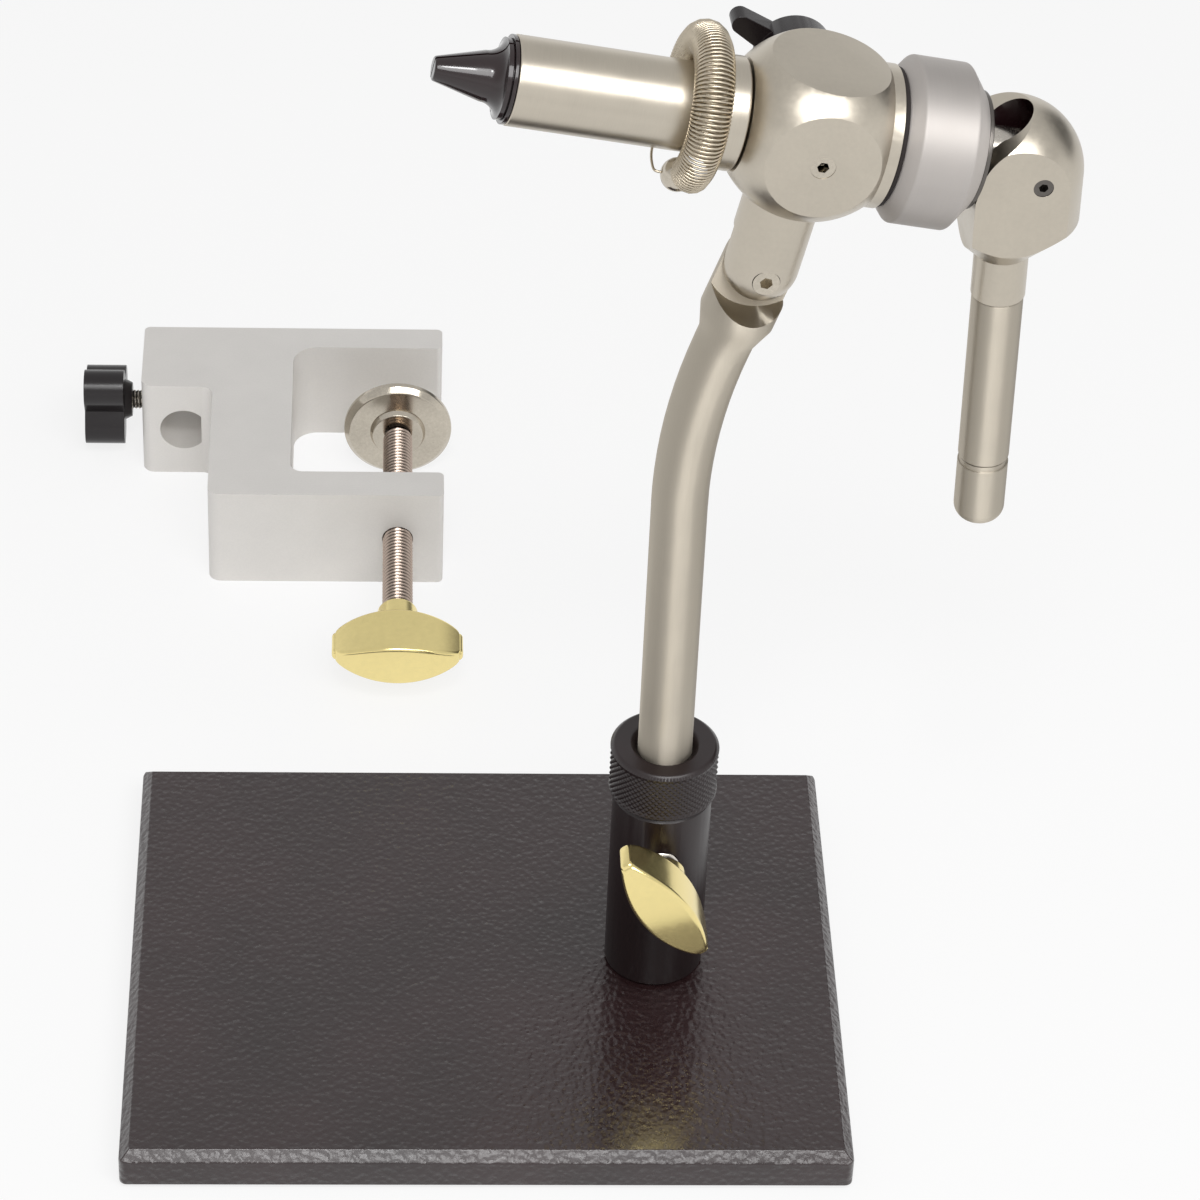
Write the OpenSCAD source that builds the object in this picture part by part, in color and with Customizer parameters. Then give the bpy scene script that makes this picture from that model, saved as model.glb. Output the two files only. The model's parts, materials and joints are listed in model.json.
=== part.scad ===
// Fly tying vise: rotary collet head on a bent stem, with a pedestal base and a bench clamp.
// Millimetres. X is right, Y is away from the viewer, Z is up.
// The origin is the centre of the base's underside.

/* [Base] */
// Width of the base plate
base_w = 127; // [100:1:180]
// Depth of the base plate
base_d = 101.6; // [80:0.1:150]
// Thickness of the steel plate
base_t = 7; // [5:0.5:12]
// Width of the bevel along the plate's top edges
base_bevel = 1.8; // [0.5:0.1:3]
// Radius of the plate's upright corners
base_corner = 1.4; // [0.5:0.1:6]
// Thickness of the non-slip sheet under the plate
sheet_t = 1; // [0.5:0.1:3]
// How far the sheet stays inside the plate's edge
sheet_inset = 4; // [2:0.5:15]

/* [Post] */
// Distance of the post from the middle of the base, to the right
post_x = 30.5; // [15:0.5:40]
// Diameter of the post
post_d = 17.5; // [16:0.5:24]
// Height of the post above the plate
post_h = 40; // [32:1:60]
// Depth of the stem's socket in the post
socket_depth = 29; // [20:1:30]
// Bevel on the ends of the post
post_bevel = 0.7; // [0.3:0.1:1.5]
// Diameter of the bolt that holds the post to the plate
bolt_d = 6; // [5:0.5:8]
// Diameter of the bolt's countersunk head
bolt_head_d = 11.6; // [10:0.2:14]
// Depth of the bolt's thread in the post
bolt_grip = 8; // [6:0.5:9]
// Height of the clamping screw below the post's top
thumb_drop = 10.5; // [9:0.5:18]
// Height of the small side screw below the post's top
side_drop = 10.5; // [8:0.5:15]
// Diameter of the small set screws
grub_d = 4; // [3:0.1:4.4]
// Diameter of the height collar's set screw
small_grub_d = 3.2; // [2.4:0.1:4]

/* [Thumb screws] */
// Diameter of the thumb screws' threads
thumb_d = 6; // [5:0.5:7]
// Length of a brass thumb knob
knob_l = 25.4; // [20:0.2:32]
// Width of a brass thumb knob at its middle
knob_w = 9; // [7:0.2:12]
// Width of the flat at each end of a thumb knob
knob_tip_w = 2.4; // [1:0.1:4]
// Thickness of a brass thumb knob along its screw
knob_t = 8.6; // [6:0.2:12]
// Diameter of a thumb knob's neck
neck_d = 9.6; // [8.5:0.1:12]
// Length of the post's thumb knob's neck
neck_l = 3.2; // [2:0.1:8]
// Gap between the post and its thumb knob
knob_standoff = 1.2; // [0.5:0.1:3]

/* [Stem] */
// Diameter of the stem
stem_d = 9.5; // [8:0.1:11]
// Height above the plate at which the stem starts to bend
bend_height = 103.5; // [90:0.5:130]
// Radius of the stem's bend
bend_r = 100; // [80:1:150]
// Angle of the stem's bend, in degrees
bend_angle = 18.9; // [10:0.1:25]
// Length of stem from the bend to the tilt screw
stem_top_l = 17; // [16.5:0.5:20]
// Diameter of the two halves of the tilt knuckle
knuckle_d = 12.6; // [12:0.1:14]
// Length of the knuckle below the tilt screw
knuckle_l = 10.5; // [9.8:0.1:12.4]
// Length of the taper below the knuckle
knuckle_taper_l = 4.4; // [2:0.1:4.4]
// Radius of the round recess in each half of the knuckle
lap_r = 8.7; // [8:0.1:9.7]
// Diameter of the tilt screw
tilt_screw_d = 4.4; // [3.5:0.1:5]

/* [Height collar] */
// Diameter of the knurled collar
collar_d = 19; // [17:0.2:24]
// Height of the knurled collar
collar_h = 10.4; // [8:0.2:16]
// Diameter of the cone at the collar's top
collar_cone_d = 12; // [11.6:0.1:14]

/* [Head] */
// Turn of the stem and head about the post, in degrees
head_yaw = 4.5; // [-30:0.5:30]
// Upward tilt of the jaws, in degrees
head_tilt = 12; // [0:0.5:20]
// Distance from the tilt screw up to the head's axis
head_rise = 26.7; // [25:0.5:34]
// Distance from the ball's middle forward to the knuckle
knuckle_forward = 1; // [0:0.1:2.4]
// Diameter of the head's ball
ball_d = 30.4; // [29.6:0.1:34]
// Distance from the axis to the front and back flats of the ball
side_flat = 12.1; // [11.6:0.1:13.2]
// Distance from the axis to the top flat of the ball
top_flat = 11.8; // [11:0.1:13]
// Distance from the ball's middle to its flat nose
nose_s = 12.1; // [11.5:0.1:12.6]
// Distance from the ball's middle to its flat tail
tail_s = 11.7; // [11.4:0.1:12.2]
// Diameter of the band at the ball's tail
band_d = 23; // [21:0.2:24]
// Diameter of the rotating spindle in the ball
spindle_d = 12; // [11:0.1:12.4]
// Wall of the bronze bushings
bushing_wall = 1.5; // [1:0.1:1.8]
// Length of each bronze bushing
bushing_l = 5.5; // [4:0.1:6]

/* [Sleeve] */
// Diameter of the jaw sleeve
sleeve_d = 14.3; // [13.8:0.1:15.4]
// Length of sleeve in front of the spring's hub
sleeve_l = 33.3; // [27:0.1:44]
// Diameter of the hub that carries the spring ring
hub_d = 18.2; // [16.8:0.1:18.4]
// Length of the hub
hub_l = 3.3; // [2.6:0.1:6]
// Bore of the sleeve
sleeve_bore = 9.2; // [9:0.1:9.6]
// Diameter of the draw rod in front of its tail
rod_d = 5; // [4:0.1:5.4]

/* [Spring ring] */
// Outside diameter of the spring's curls
curl_d = 6.5; // [6:0.1:7]
// Diameter of the spring's wire
clip_wire_d = 0.45; // [0.4:0.01:0.45]
// Number of curls in the spring
curl_count = 41; // [30:1:41]
// Where the spring ends on its way round the sleeve from below, in degrees
clip_end = 315; // [300:1:320]
// Diameter of the round catch that joins the spring's ends
catch_d = 5.5; // [5:0.1:5.8]
// How far the catch lies in front of the spring's middle
catch_lead = 1.3; // [1:0.1:1.6]
// Turn of the catch from below toward the viewer, in degrees
catch_turn = 32; // [20:1:40]

/* [Jaws] */
// Length of the collet in front of the sleeve
jaw_l = 12.1; // [10:0.1:15]
// Diameter of the jaws at their tip
jaw_tip_d = 3.8; // [2.4:0.1:4.6]
// Diameter of the jaws' cone where it meets the flare
jaw_root_d = 8; // [7:0.1:9]
// Diameter of the collet's flange
flange_d = 14.1; // [13.6:0.1:14.2]
// Thickness of the collet's flange
flange_t = 0.6; // [0.5:0.1:0.8]
// Diameter of the rim in front of the collet's flange
rim_d = 12.9; // [12.2:0.1:13.2]
// Thickness of the rim
rim_t = 0.8; // [0.7:0.1:1.2]
// Length of the flare between the rim and the jaws' cone
flare_l = 2.8; // [2:0.1:3.6]
// Width of the slit between the jaws
slit_w = 0.4; // [0.2:0.05:0.8]
// Length of the collet's shank inside the sleeve
shank_l = 20; // [15:0.5:22]

/* [Drum] */
// Diameter of the adjusting drum
drum_d = 26.8; // [25:0.2:30]
// Length of the adjusting drum
drum_l = 13.7; // [12:0.1:16]
// Diameter of the drum's front edge
drum_front_d = 22; // [20:0.2:23]
// Diameter of the drum's rear edge
drum_rear_d = 19.2; // [17:0.2:22]
// Length of the drum's front bevel
drum_front_bevel = 2; // [1:0.1:3]
// Length of the drum's rear bevel
drum_rear_bevel = 3; // [2:0.1:4]
// Thickness of the rubber seal between ball and drum
seal_t = 0.8; // [0.6:0.1:1.2]
// Thickness of the black thrust washer behind the drum
washer_t = 0.7; // [0.6:0.1:1.5]

/* [Cam lever] */
// Radius of the cam
cam_r = 9.9; // [9.5:0.05:10.4]
// Depth of the cam's centre below its pin
cam_drop = 1.4; // [0.6:0.1:2]
// Diameter of the lever's ball
lever_ball_d = 23.8; // [23.4:0.1:26]
// Distance from the pin forward to the lever ball's centre
ball_forward = 3.5; // [3.2:0.1:4.4]
// Distance from the pin down to the lever ball's centre
ball_drop = 2.3; // [1.6:0.1:2.6]
// Distance from the lever ball's centre forward to the flat below the cam
lever_front = 6.8; // [6.6:0.1:7.6]
// Backward lean of the lever's handle, in degrees
lever_lean = 1; // [0:0.5:3]
// Thickness of the lever's ball across its flats
lever_flat_w = 17; // [16.4:0.1:18.4]
// Diameter of the draw rod's tail
tail_d = 8.8; // [8:0.1:8.8]
// Diameter of the cam pin
pin_d = 3.2; // [2.6:0.1:3.6]
// Length of the straight part below the lever ball's centre
lever_straight_l = 8.2; // [6:0.1:10]
// Length of the cone below the straight part
lever_cone_l = 7.7; // [6:0.1:12]
// Diameter of the handle's shoulder
shoulder_d = 8.9; // [8.7:0.1:9.2]
// Length of the handle's shoulder
shoulder_l = 8.2; // [7:0.1:12]
// Diameter of the handle
handle_d = 8.5; // [7.6:0.1:8.5]
// Length of the handle between its grooves
handle_l = 33; // [24:0.5:60]
// Length of the handle's end cap
cap_l = 13; // [9:0.2:16]
// Width of the groove above the end cap
groove_w = 0.9; // [0.5:0.1:1.5]
// Largest turn of the lever, in degrees
lever_swing = 41; // [30:1:41]

/* [Lock lever] */
// Diameter of the lock lever's hub
lock_hub_d = 12.8; // [11:0.2:14]
// Length of the lock lever's hub
lock_hub_l = 11.2; // [8:0.1:12]
// Distance from the hub's middle to the tip of its arm
lock_arm_l = 10.9; // [10:0.1:14]
// Width of the arm at its tip
lock_tip_d = 3.2; // [2.6:0.1:4]
// Thickness of the arm
lock_arm_t = 3.4; // [2.6:0.1:5]
// Angle of the arm above the head's axis, in degrees
lock_angle = 24; // [0:1:60]

/* [Bench clamp] */
// Place of the clamp's left edge, to the right of the origin
clamp_x = -68; // [-120:1:-60]
// Place of the clamp's lower jaw behind the origin
clamp_y = 116; // [104:1:160]
// Thickness of the clamp's casting
clamp_t = 22; // [18:0.5:26]
// Height of the clamp, from jaw to jaw outside
clamp_h = 56; // [48:0.5:64]
// Width of the block that takes the stem
block_w = 14.6; // [13.4:0.1:18]
// Height of the block that takes the stem
block_h = 20.5; // [17:0.5:24]
// Width of the clamp's spine
spine_w = 16.2; // [12:0.2:20]
// Length of the clamp's jaws beyond the spine
jaw_reach = 30.6; // [27:0.2:36]
// Thickness of the clamp's upper jaw
upper_jaw_t = 6.6; // [5:0.1:9]
// Thickness of the clamp's lower jaw
lower_jaw_t = 7.6; // [6:0.1:10]
// Radius of the fillets inside the clamp
clamp_fillet = 5; // [3:0.2:6]
// Radius of the clamp's outer corners
clamp_corner = 2.4; // [1.5:0.1:3]
// Distance from the spine to the clamp screw
clamp_screw_reach = 21.5; // [18:0.5:23]
// Diameter of the clamp's pad
pad_d = 22; // [16:0.5:24]
// Gap between the clamp's pad and its upper jaw
pad_gap = 12; // [4:0.5:20]
// Length of screw that shows below the lower jaw
screw_below = 22.6; // [16:0.2:26]
// Diameter of the black lock knob
lobe_knob_d = 18.4; // [16:0.2:21]
// Thickness of the black lock knob
lobe_knob_t = 9.6; // [7:0.2:12]

/* [Hidden] */
$fn = 64;

// Amount by which a cut runs past what it cuts
over = 1;
// Radial clearance of a turning or sliding fit
run_fit = 0.08;
// Radial clearance of a pressed or threaded fit
press_fit = 0.02;
// Gap between faces that pass each other
face_gap = 0.1;
// Gap between faces that must stay clear of each other
clear_gap = 0.3;
// Rounding of moulded and turned knobs
soft_edge = 1.5;

// Heights of the base and post
plate_top = sheet_t + base_t;
post_top = plate_top + post_h;
socket_floor = post_top - socket_depth;
bolt_head_h = (bolt_head_d - bolt_d) / 2;
key_share = 0.6;
thumb_z = post_top - thumb_drop;
side_z = post_top - side_drop;

// Stem and knuckle
bend_z = plate_top + bend_height;
tilt_r = bend_r * (1 - cos(bend_angle)) + stem_top_l * sin(bend_angle);
tilt_z = bend_z + bend_r * sin(bend_angle) + stem_top_l * cos(bend_angle);
collar_z = post_top + face_gap;

// Stations along the head's axis, forward of the ball's middle
hub_s = nose_s + clear_gap;
hub_end_s = hub_s + hub_l;
sleeve_end_s = hub_end_s + sleeve_l;
drum_s = -(tail_s + face_gap + seal_t);
drum_end_s = drum_s - drum_l;
washer_end_s = drum_end_s - washer_t;
pin_s = washer_end_s - face_gap - cam_r;
spindle_end_s = drum_end_s + 2.4 * face_gap + bushing_wall;
bushing_d = spindle_d + 2 * (run_fit + bushing_wall);

// The collet is drawn home while the handle hangs down, and the cam lets it forward
flange_s = sleeve_end_s + face_gap;
seat_lip = 1.2;
seat_d = sleeve_d - 2 * seat_lip;
seat_l = 4.2;
shank_d = sleeve_bore - 2 * run_fit;
shank_end_s = flange_s - shank_l;
rod_tap_l = 5;
web_depth = 2.4;
web_s = hub_s - web_depth;
web_l = 4;
tail_inside_l = 4;
tail_start_s = -tail_s - tail_inside_l;
spring_wire_d = 0.7;
spring_curls = 12;

// Spring ring
ring_r = sleeve_d / 2 + clear_gap + curl_d / 2;
ring_s = hub_end_s + face_gap + curl_d / 2;
catch_s = ring_s + catch_lead;

// Lever
ball_s = pin_s + ball_forward;
taper_end = lever_straight_l + lever_cone_l;
spigot_d = handle_d / 2;
spigot_l = 6;
cap_round_share = 0.7;
pocket_d = tail_d + 2 * clear_gap;
swing_spare = 3;

// Bench clamp
clamp_w = block_w + spine_w + jaw_reach;
stem_bore_d = stem_d + 2 * run_fit;
bore_shift = 1.2;
bore_x = block_w / 2 + bore_shift;
screw_x = block_w + spine_w + clamp_screw_reach;
pad_y = clamp_h - upper_jaw_t - pad_gap;
pad_t = 2.2;
pad_rim = 1.2;
pad_stem_d = 3.6;
pad_washer_d = 11.4;
clamp_neck_l = 6.5;

// Frames

module at_post() {
    translate([post_x, 0, 0]) children();
}

// Turned with the head: x points the way the jaws point, y toward the viewer
module in_arm() {
    at_post() rotate([0, 0, 180 + head_yaw]) children();
}

// The head's own frame: the ball's middle, x along the axis toward the jaws
module in_head() {
    in_arm() translate([-tilt_r, 0, tilt_z]) rotate([0, -head_tilt, 0])
        translate([-knuckle_forward, 0, head_rise]) children();
}

// The lever's own frame: its ball's centre, with the handle straight down
module in_lever() {
    in_head() translate([ball_s, 0, -ball_drop]) rotate([0, head_tilt + lever_lean, 0]) children();
}

// The clamp lies on its broad side: x right, y up its spine, z through it
module in_clamp() {
    translate([clamp_x, clamp_y, 0]) children();
}

// Common shapes

// A rod along x between two stations
module rod_x(from, to, d) {
    translate([min(from, to), 0, 0]) rotate([0, 90, 0]) cylinder(h = abs(to - from), d = d);
}

// A rod along y between two stations
module rod_y(from, to, d) {
    translate([0, min(from, to), 0]) rotate([-90, 0, 0]) cylinder(h = abs(to - from), d = d);
}

// A turned piece on the x axis, from a list of [station, radius]
module turned_x(points) {
    rotate([0, 90, 0]) rotate_extrude() polygon([for (p = points) [p[1], p[0]]]);
}

// A tube along x
module tube_x(from, to, outer, inner) {
    difference() {
        rod_x(from, to, outer);
        rod_x(from - sign(to - from) * over, to + sign(to - from) * over, inner);
    }
}

// A set screw along z with its key hole at the top
module grub(d, l) {
    difference() {
        cylinder(h = l, d = d);
        translate([0, 0, l - d / 2]) cylinder(h = d / 2 + over, d = d / 2, $fn = 6);
    }
}

// A tube of wire that follows a line of points, with rings that turn as little as they can
function unit(v) = v / norm(v);

function across(v, way) = unit(v - (v * way) * way);

module wire_tube(centres, r) {
    n = len(centres);
    sides = 6;
    ways = [for (i = [0 : n - 1])
        unit(centres[min(i + 1, n - 1)] - centres[max(i - 1, 0)])];
    first = across(abs(ways[0][0]) < abs(ways[0][2]) ? [1, 0, 0] : [0, 0, 1], ways[0]);
    outs = [for (i = 0, u = first; i < n; i = i + 1, u = i < n ? across(u, ways[i]) : u) u];
    points = [for (i = [0 : n - 1]) for (k = [0 : sides - 1])
        let (a = k * 360 / sides)
        centres[i] + r * (cos(a) * outs[i] + sin(a) * cross(ways[i], outs[i]))];
    walls = [for (i = [0 : n - 2]) for (k = [0 : sides - 1])
        let (a = i * sides + k,
             b = i * sides + (k + 1) % sides,
             c = b + sides,
             d = a + sides)
        for (t = [[a, c, b], [a, d, c]]) t];
    caps = [
        [for (k = [0 : sides - 1]) k],
        [for (k = [sides - 1 : -1 : 0]) (n - 1) * sides + k]
    ];
    polyhedron(points = points, faces = concat(walls, caps));
}

// A straight coil spring along z: its wire, its middle diameter, its height
module coil(wire, middle_d, height, curls) {
    steps = curls * 8;
    r = middle_d / 2;
    wire_tube([for (i = [0 : steps]) let (a = i * 360 / 8)
        [r * cos(a), r * sin(a), wire / 2 + (height - wire) * i / steps]], wire / 2);
}

// Base and post

module base_plate() {
    color("#3f3938") difference() {
        translate([0, 0, sheet_t]) intersection() {
            rotate([90, 0, 0]) linear_extrude(height = base_d, center = true)
                polygon([[-base_w / 2, 0], [base_w / 2, 0],
                         [base_w / 2, base_t - base_bevel], [base_w / 2 - base_bevel, base_t],
                         [-base_w / 2 + base_bevel, base_t], [-base_w / 2, base_t - base_bevel]]);
            rotate([90, 0, 90]) linear_extrude(height = base_w, center = true)
                polygon([[-base_d / 2, 0], [base_d / 2, 0],
                         [base_d / 2, base_t - base_bevel], [base_d / 2 - base_bevel, base_t],
                         [-base_d / 2 + base_bevel, base_t], [-base_d / 2, base_t - base_bevel]]);
            linear_extrude(height = base_t) rounded_plate(base_w, base_d, base_corner);
        }
        at_post() {
            translate([0, 0, sheet_t - over])
                cylinder(h = base_t + 2 * over, d = bolt_d + 2 * clear_gap);
            translate([0, 0, sheet_t - over])
                cylinder(h = over + clear_gap, d = bolt_head_d + 2 * face_gap);
            translate([0, 0, sheet_t + clear_gap])
                cylinder(h = bolt_head_h, d1 = bolt_head_d + 2 * face_gap, d2 = bolt_d + 2 * face_gap);
        }
    }
}

// A rectangle with round corners, from circles and squares
module rounded_plate(w, d, r) {
    square([w - 2 * r, d], center = true);
    square([w, d - 2 * r], center = true);
    for (x = [-1, 1]) for (y = [-1, 1])
        translate([x * (w / 2 - r), y * (d / 2 - r)]) circle(r = r);
}

module base_sheet() {
    color("#1d1b1b") difference() {
        linear_extrude(height = sheet_t)
            rounded_plate(base_w - 2 * sheet_inset, base_d - 2 * sheet_inset, sheet_inset);
        at_post() translate([0, 0, -over])
            cylinder(h = sheet_t + 2 * over, d = bolt_head_d + 2 * clear_gap);
    }
}

module base_bolt() {
    head_z = sheet_t + clear_gap;
    color("#2a2a2c") at_post() difference() {
        union() {
            translate([0, 0, head_z]) cylinder(h = bolt_head_h, d1 = bolt_head_d, d2 = bolt_d);
            translate([0, 0, head_z + bolt_head_h])
                cylinder(h = plate_top + bolt_grip - head_z - bolt_head_h, d = bolt_d);
        }
        translate([0, 0, head_z - over])
            cylinder(h = over + bolt_head_h, d = bolt_d * key_share, $fn = 6);
    }
}

module socket_post() {
    r = post_d / 2;
    color("#1d1819") at_post() difference() {
        translate([0, 0, plate_top]) rotate_extrude()
            polygon([[0, 0], [r - post_bevel, 0], [r, post_bevel],
                     [r, post_h - post_bevel], [r - post_bevel, post_h], [0, post_h]]);
        translate([0, 0, socket_floor]) cylinder(h = socket_depth + over, d = stem_bore_d);
        translate([0, 0, plate_top - over])
            cylinder(h = over + bolt_grip + clear_gap, d = bolt_d + 2 * press_fit);
        translate([0, 0, thumb_z]) rod_y(-r - over, 0, thumb_d + 2 * press_fit);
        translate([0, 0, side_z]) rod_x(0, r + over, grub_d + 2 * press_fit);
    }
}

module side_set_screw() {
    reach = post_d / 2 - stem_bore_d / 2 - clear_gap;
    color("#303034") at_post() translate([stem_bore_d / 2, 0, side_z])
        rotate([0, 90, 0]) grub(grub_d, reach - post_bevel);
}

// Brass thumb knob on z, its neck's end at zero and its body above
module thumb_knob(neck) {
    sag = (knob_w - knob_tip_w) / 2;
    arc_r = (pow(knob_l / 2, 2) + pow(sag, 2)) / (2 * sag);
    difference() {
        union() {
            translate([0, 0, neck]) linear_extrude(height = knob_t) intersection() {
                translate([0, arc_r - knob_w / 2]) circle(r = arc_r, $fn = 160);
                translate([0, knob_w / 2 - arc_r]) circle(r = arc_r, $fn = 160);
                square([knob_l, knob_w], center = true);
            }
            cylinder(h = neck, d1 = neck_d - neck_l / 2, d2 = neck_d);
            translate([0, 0, neck]) intersection() {
                cylinder(h = knob_t / 2, d = neck_d);
                linear_extrude(height = knob_t) square([neck_d, knob_w], center = true);
            }
        }
        translate([0, 0, -over]) cylinder(h = over + neck + knob_t / 2, d = thumb_d + 2 * press_fit);
    }
}

knob_turn = 54.6;
thumb_knob_y = post_d / 2 + knob_standoff;

module post_thumb_stud() {
    inner = stem_d / 2 + clear_gap;
    color("#c9c2b6") at_post() translate([0, 0, thumb_z])
        rod_y(-inner, -thumb_knob_y - neck_l - knob_t / 2 + clear_gap, thumb_d);
}

module post_thumb_knob() {
    color("#e2c568") at_post() translate([0, -thumb_knob_y, thumb_z])
        rotate([90, knob_turn, 0]) thumb_knob(neck_l);
}

module height_collar() {
    r = collar_d / 2;
    bevel = post_bevel;
    cone_h = (collar_cone_d - stem_bore_d) / 2;
    color("#1b1718") in_arm() difference() {
        translate([0, 0, collar_z]) rotate_extrude()
            polygon([[stem_bore_d / 2, 0], [r - bevel, 0], [r, bevel],
                     [r, collar_h - bevel], [r - bevel, collar_h], [collar_cone_d / 2, collar_h],
                     [stem_bore_d / 2, collar_h - cone_h]]);
        translate([0, 0, collar_z + collar_h / 2]) rod_y(-r - over, 0, small_grub_d + 2 * press_fit);
    }
}

module collar_set_screw() {
    inner = stem_bore_d / 2;
    color("#303034") in_arm() translate([0, -inner, collar_z + collar_h / 2])
        rotate([90, 0, 0]) grub(small_grub_d, collar_d / 2 - inner - 2 * clear_gap);
}

// Stem

// The bent line of the stem from the start of the bend to the tilt screw
module in_stem_top() {
    translate([-tilt_r, 0, tilt_z]) rotate([0, -bend_angle, 0]) children();
}

// The bend is a hair thicker than the rod below it, and the knuckle's neck a hair thicker again
module stem() {
    stem_end_z = socket_floor + 2 * clear_gap;
    arc_r = stem_d / 2 + press_fit;
    neck_r = arc_r + press_fit;
    neck_from = stem_top_l + face_gap;
    color("#b8afa0") in_arm() difference() {
        union() {
            translate([0, 0, stem_end_z])
                cylinder(h = post_bevel, d1 = stem_d - 2 * post_bevel, d2 = stem_d);
            translate([0, 0, stem_end_z + post_bevel])
                cylinder(h = bend_z + face_gap - stem_end_z - post_bevel, d = stem_d);
            translate([-bend_r, 0, bend_z]) rotate([90, 0, 0])
                rotate_extrude(angle = bend_angle, $fn = 200) translate([bend_r, 0]) circle(r = arc_r);
            in_stem_top() rotate_extrude() {
                polygon([[0, -neck_from], [neck_r, -neck_from],
                         [neck_r, -knuckle_l - knuckle_taper_l],
                         [knuckle_d / 2, -knuckle_l], [knuckle_d / 2, 0], [0, 0]]);
                intersection() {
                    circle(d = knuckle_d);
                    square(knuckle_d);
                }
            }
        }
        in_stem_top() {
            rod_y(-face_gap / 2, knuckle_d, 2 * lap_r);
            rod_y(-knuckle_d, knuckle_d, tilt_screw_d + 2 * press_fit);
        }
    }
}

module tilt_screw() {
    half = knuckle_d / 2 - clear_gap;
    color("#a39a8c") in_arm() in_stem_top() translate([0, -half, 0])
        rotate([-90, 0, 0]) grub(tilt_screw_d, 2 * half);
}

module head_tongue() {
    top = head_rise - bushing_d / 2 - 2 * clear_gap;
    d = knuckle_d - 2 * face_gap;
    color("#b3aa9c") in_head() translate([knuckle_forward, 0, -head_rise]) difference() {
        union() {
            cylinder(h = top, d = d);
            sphere(d = d);
        }
        rod_y(-knuckle_d, face_gap / 2, 2 * lap_r);
        rod_y(-knuckle_d, knuckle_d, tilt_screw_d + 2 * run_fit);
    }
}

// Head

module head_ball() {
    socket_top = -bushing_d / 2 - clear_gap;
    reach = ball_d / 2 + over;
    color("#b7ae9f") in_head() difference() {
        intersection() {
            union() {
                sphere(d = ball_d, $fn = 96);
                rod_x(-tail_s, 0, band_d);
            }
            translate([-tail_s, -side_flat, -reach])
                cube([tail_s + nose_s, 2 * side_flat, reach + top_flat]);
        }
        rod_x(-reach, reach, bushing_d + 2 * press_fit);
        translate([knuckle_forward, 0, -reach])
            cylinder(h = reach + socket_top, d = knuckle_d - 2 * face_gap + 2 * press_fit);
        rod_y(0, reach, grub_d + 2 * press_fit);
        rod_y(-reach, 0, lock_stud_d + 2 * press_fit);
    }
}

module front_bushing() {
    color("#b08a4f") in_head()
        tube_x(nose_s - bushing_l, nose_s, bushing_d, spindle_d + 2 * run_fit);
}

module rear_bushing() {
    color("#b08a4f") in_head()
        tube_x(-tail_s, -tail_s + bushing_l, bushing_d, spindle_d + 2 * run_fit);
}

detent_d = 2;
detent_o = spindle_d / 2 + face_gap + detent_d / 2;
detent_spring_h = 1.7;
detent_wire_d = 0.3;
detent_coil_d = 3;
detent_spring_o = detent_o + detent_d / 2 + face_gap;
detent_screw_o = detent_spring_o + detent_spring_h + face_gap;

module detent_screw() {
    color("#8f877b") in_head() translate([0, detent_screw_o, 0])
        rotate([-90, 0, 0]) grub(grub_d, side_flat - detent_screw_o - face_gap);
}

module detent_spring() {
    color("#9a9da0") in_head() translate([0, detent_spring_o, 0])
        rotate([-90, 0, 0]) coil(detent_wire_d, detent_coil_d, detent_spring_h, 2);
}

module detent_ball() {
    color("#c4c6c8") in_head() translate([0, detent_o, 0]) sphere(d = detent_d);
}

lock_stud_d = 5;
brake_l = 1.6;
brake_o = spindle_d / 2 + face_gap;
lock_stud_o = brake_o + brake_l + face_gap;
lock_hub_o = side_flat + clear_gap;

module brake_plug() {
    color("#e6e2d6") in_head() difference() {
        rod_y(-brake_o - brake_l, -spindle_d / 4, lock_stud_d);
        rod_x(-lock_stud_d, lock_stud_d, 2 * brake_o);
    }
}

module lock_stud() {
    color("#6d6a66") in_head()
        rod_y(-lock_stud_o, -lock_hub_o - lock_hub_l + soft_edge, lock_stud_d);
}

// The lock lever is one moulding: a round hub and a tapering arm with a round tip
module lock_lever() {
    root = lock_hub_d / 5;
    far = lock_hub_o + lock_hub_l;
    color("#191516") in_head() difference() {
        union() {
            translate([0, -far, 0]) rotate([-90, 0, 0]) rotate_extrude()
                polygon([[0, 0], [lock_hub_d / 2 - soft_edge, 0], [lock_hub_d / 2, soft_edge],
                         [lock_hub_d / 2, lock_hub_l], [0, lock_hub_l]]);
            translate([0, -far + lock_arm_t + soft_edge / 2, 0]) rotate([90, 0, 0])
                rotate([0, 0, lock_angle]) linear_extrude(height = lock_arm_t) {
                    polygon([[0, -root], [0, root],
                             [lock_arm_l, lock_tip_d / 2], [lock_arm_l, -lock_tip_d / 2]]);
                    translate([lock_arm_l, 0]) circle(d = lock_tip_d);
                }
        }
        rod_y(-lock_hub_o - lock_hub_l + soft_edge - clear_gap, 0, lock_stud_d + 2 * press_fit);
    }
}

// Rotor

module jaw_sleeve() {
    r = sleeve_d / 2;
    bore = sleeve_bore / 2;
    web = rod_d / 2 + 2 * face_gap;
    edge = clear_gap;
    color("#bdb6ab") in_head() turned_x([
        [spindle_end_s, bore], [spindle_end_s, spindle_d / 2],
        [hub_s, spindle_d / 2], [hub_s, r],
        [sleeve_end_s - edge, r], [sleeve_end_s, r - edge],
        [sleeve_end_s, seat_d / 2 + face_gap], [sleeve_end_s - seat_l, bore],
        [web_s, bore], [web_s, web], [web_s - web_l, web], [web_s - web_l, bore]
    ]);
}

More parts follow.
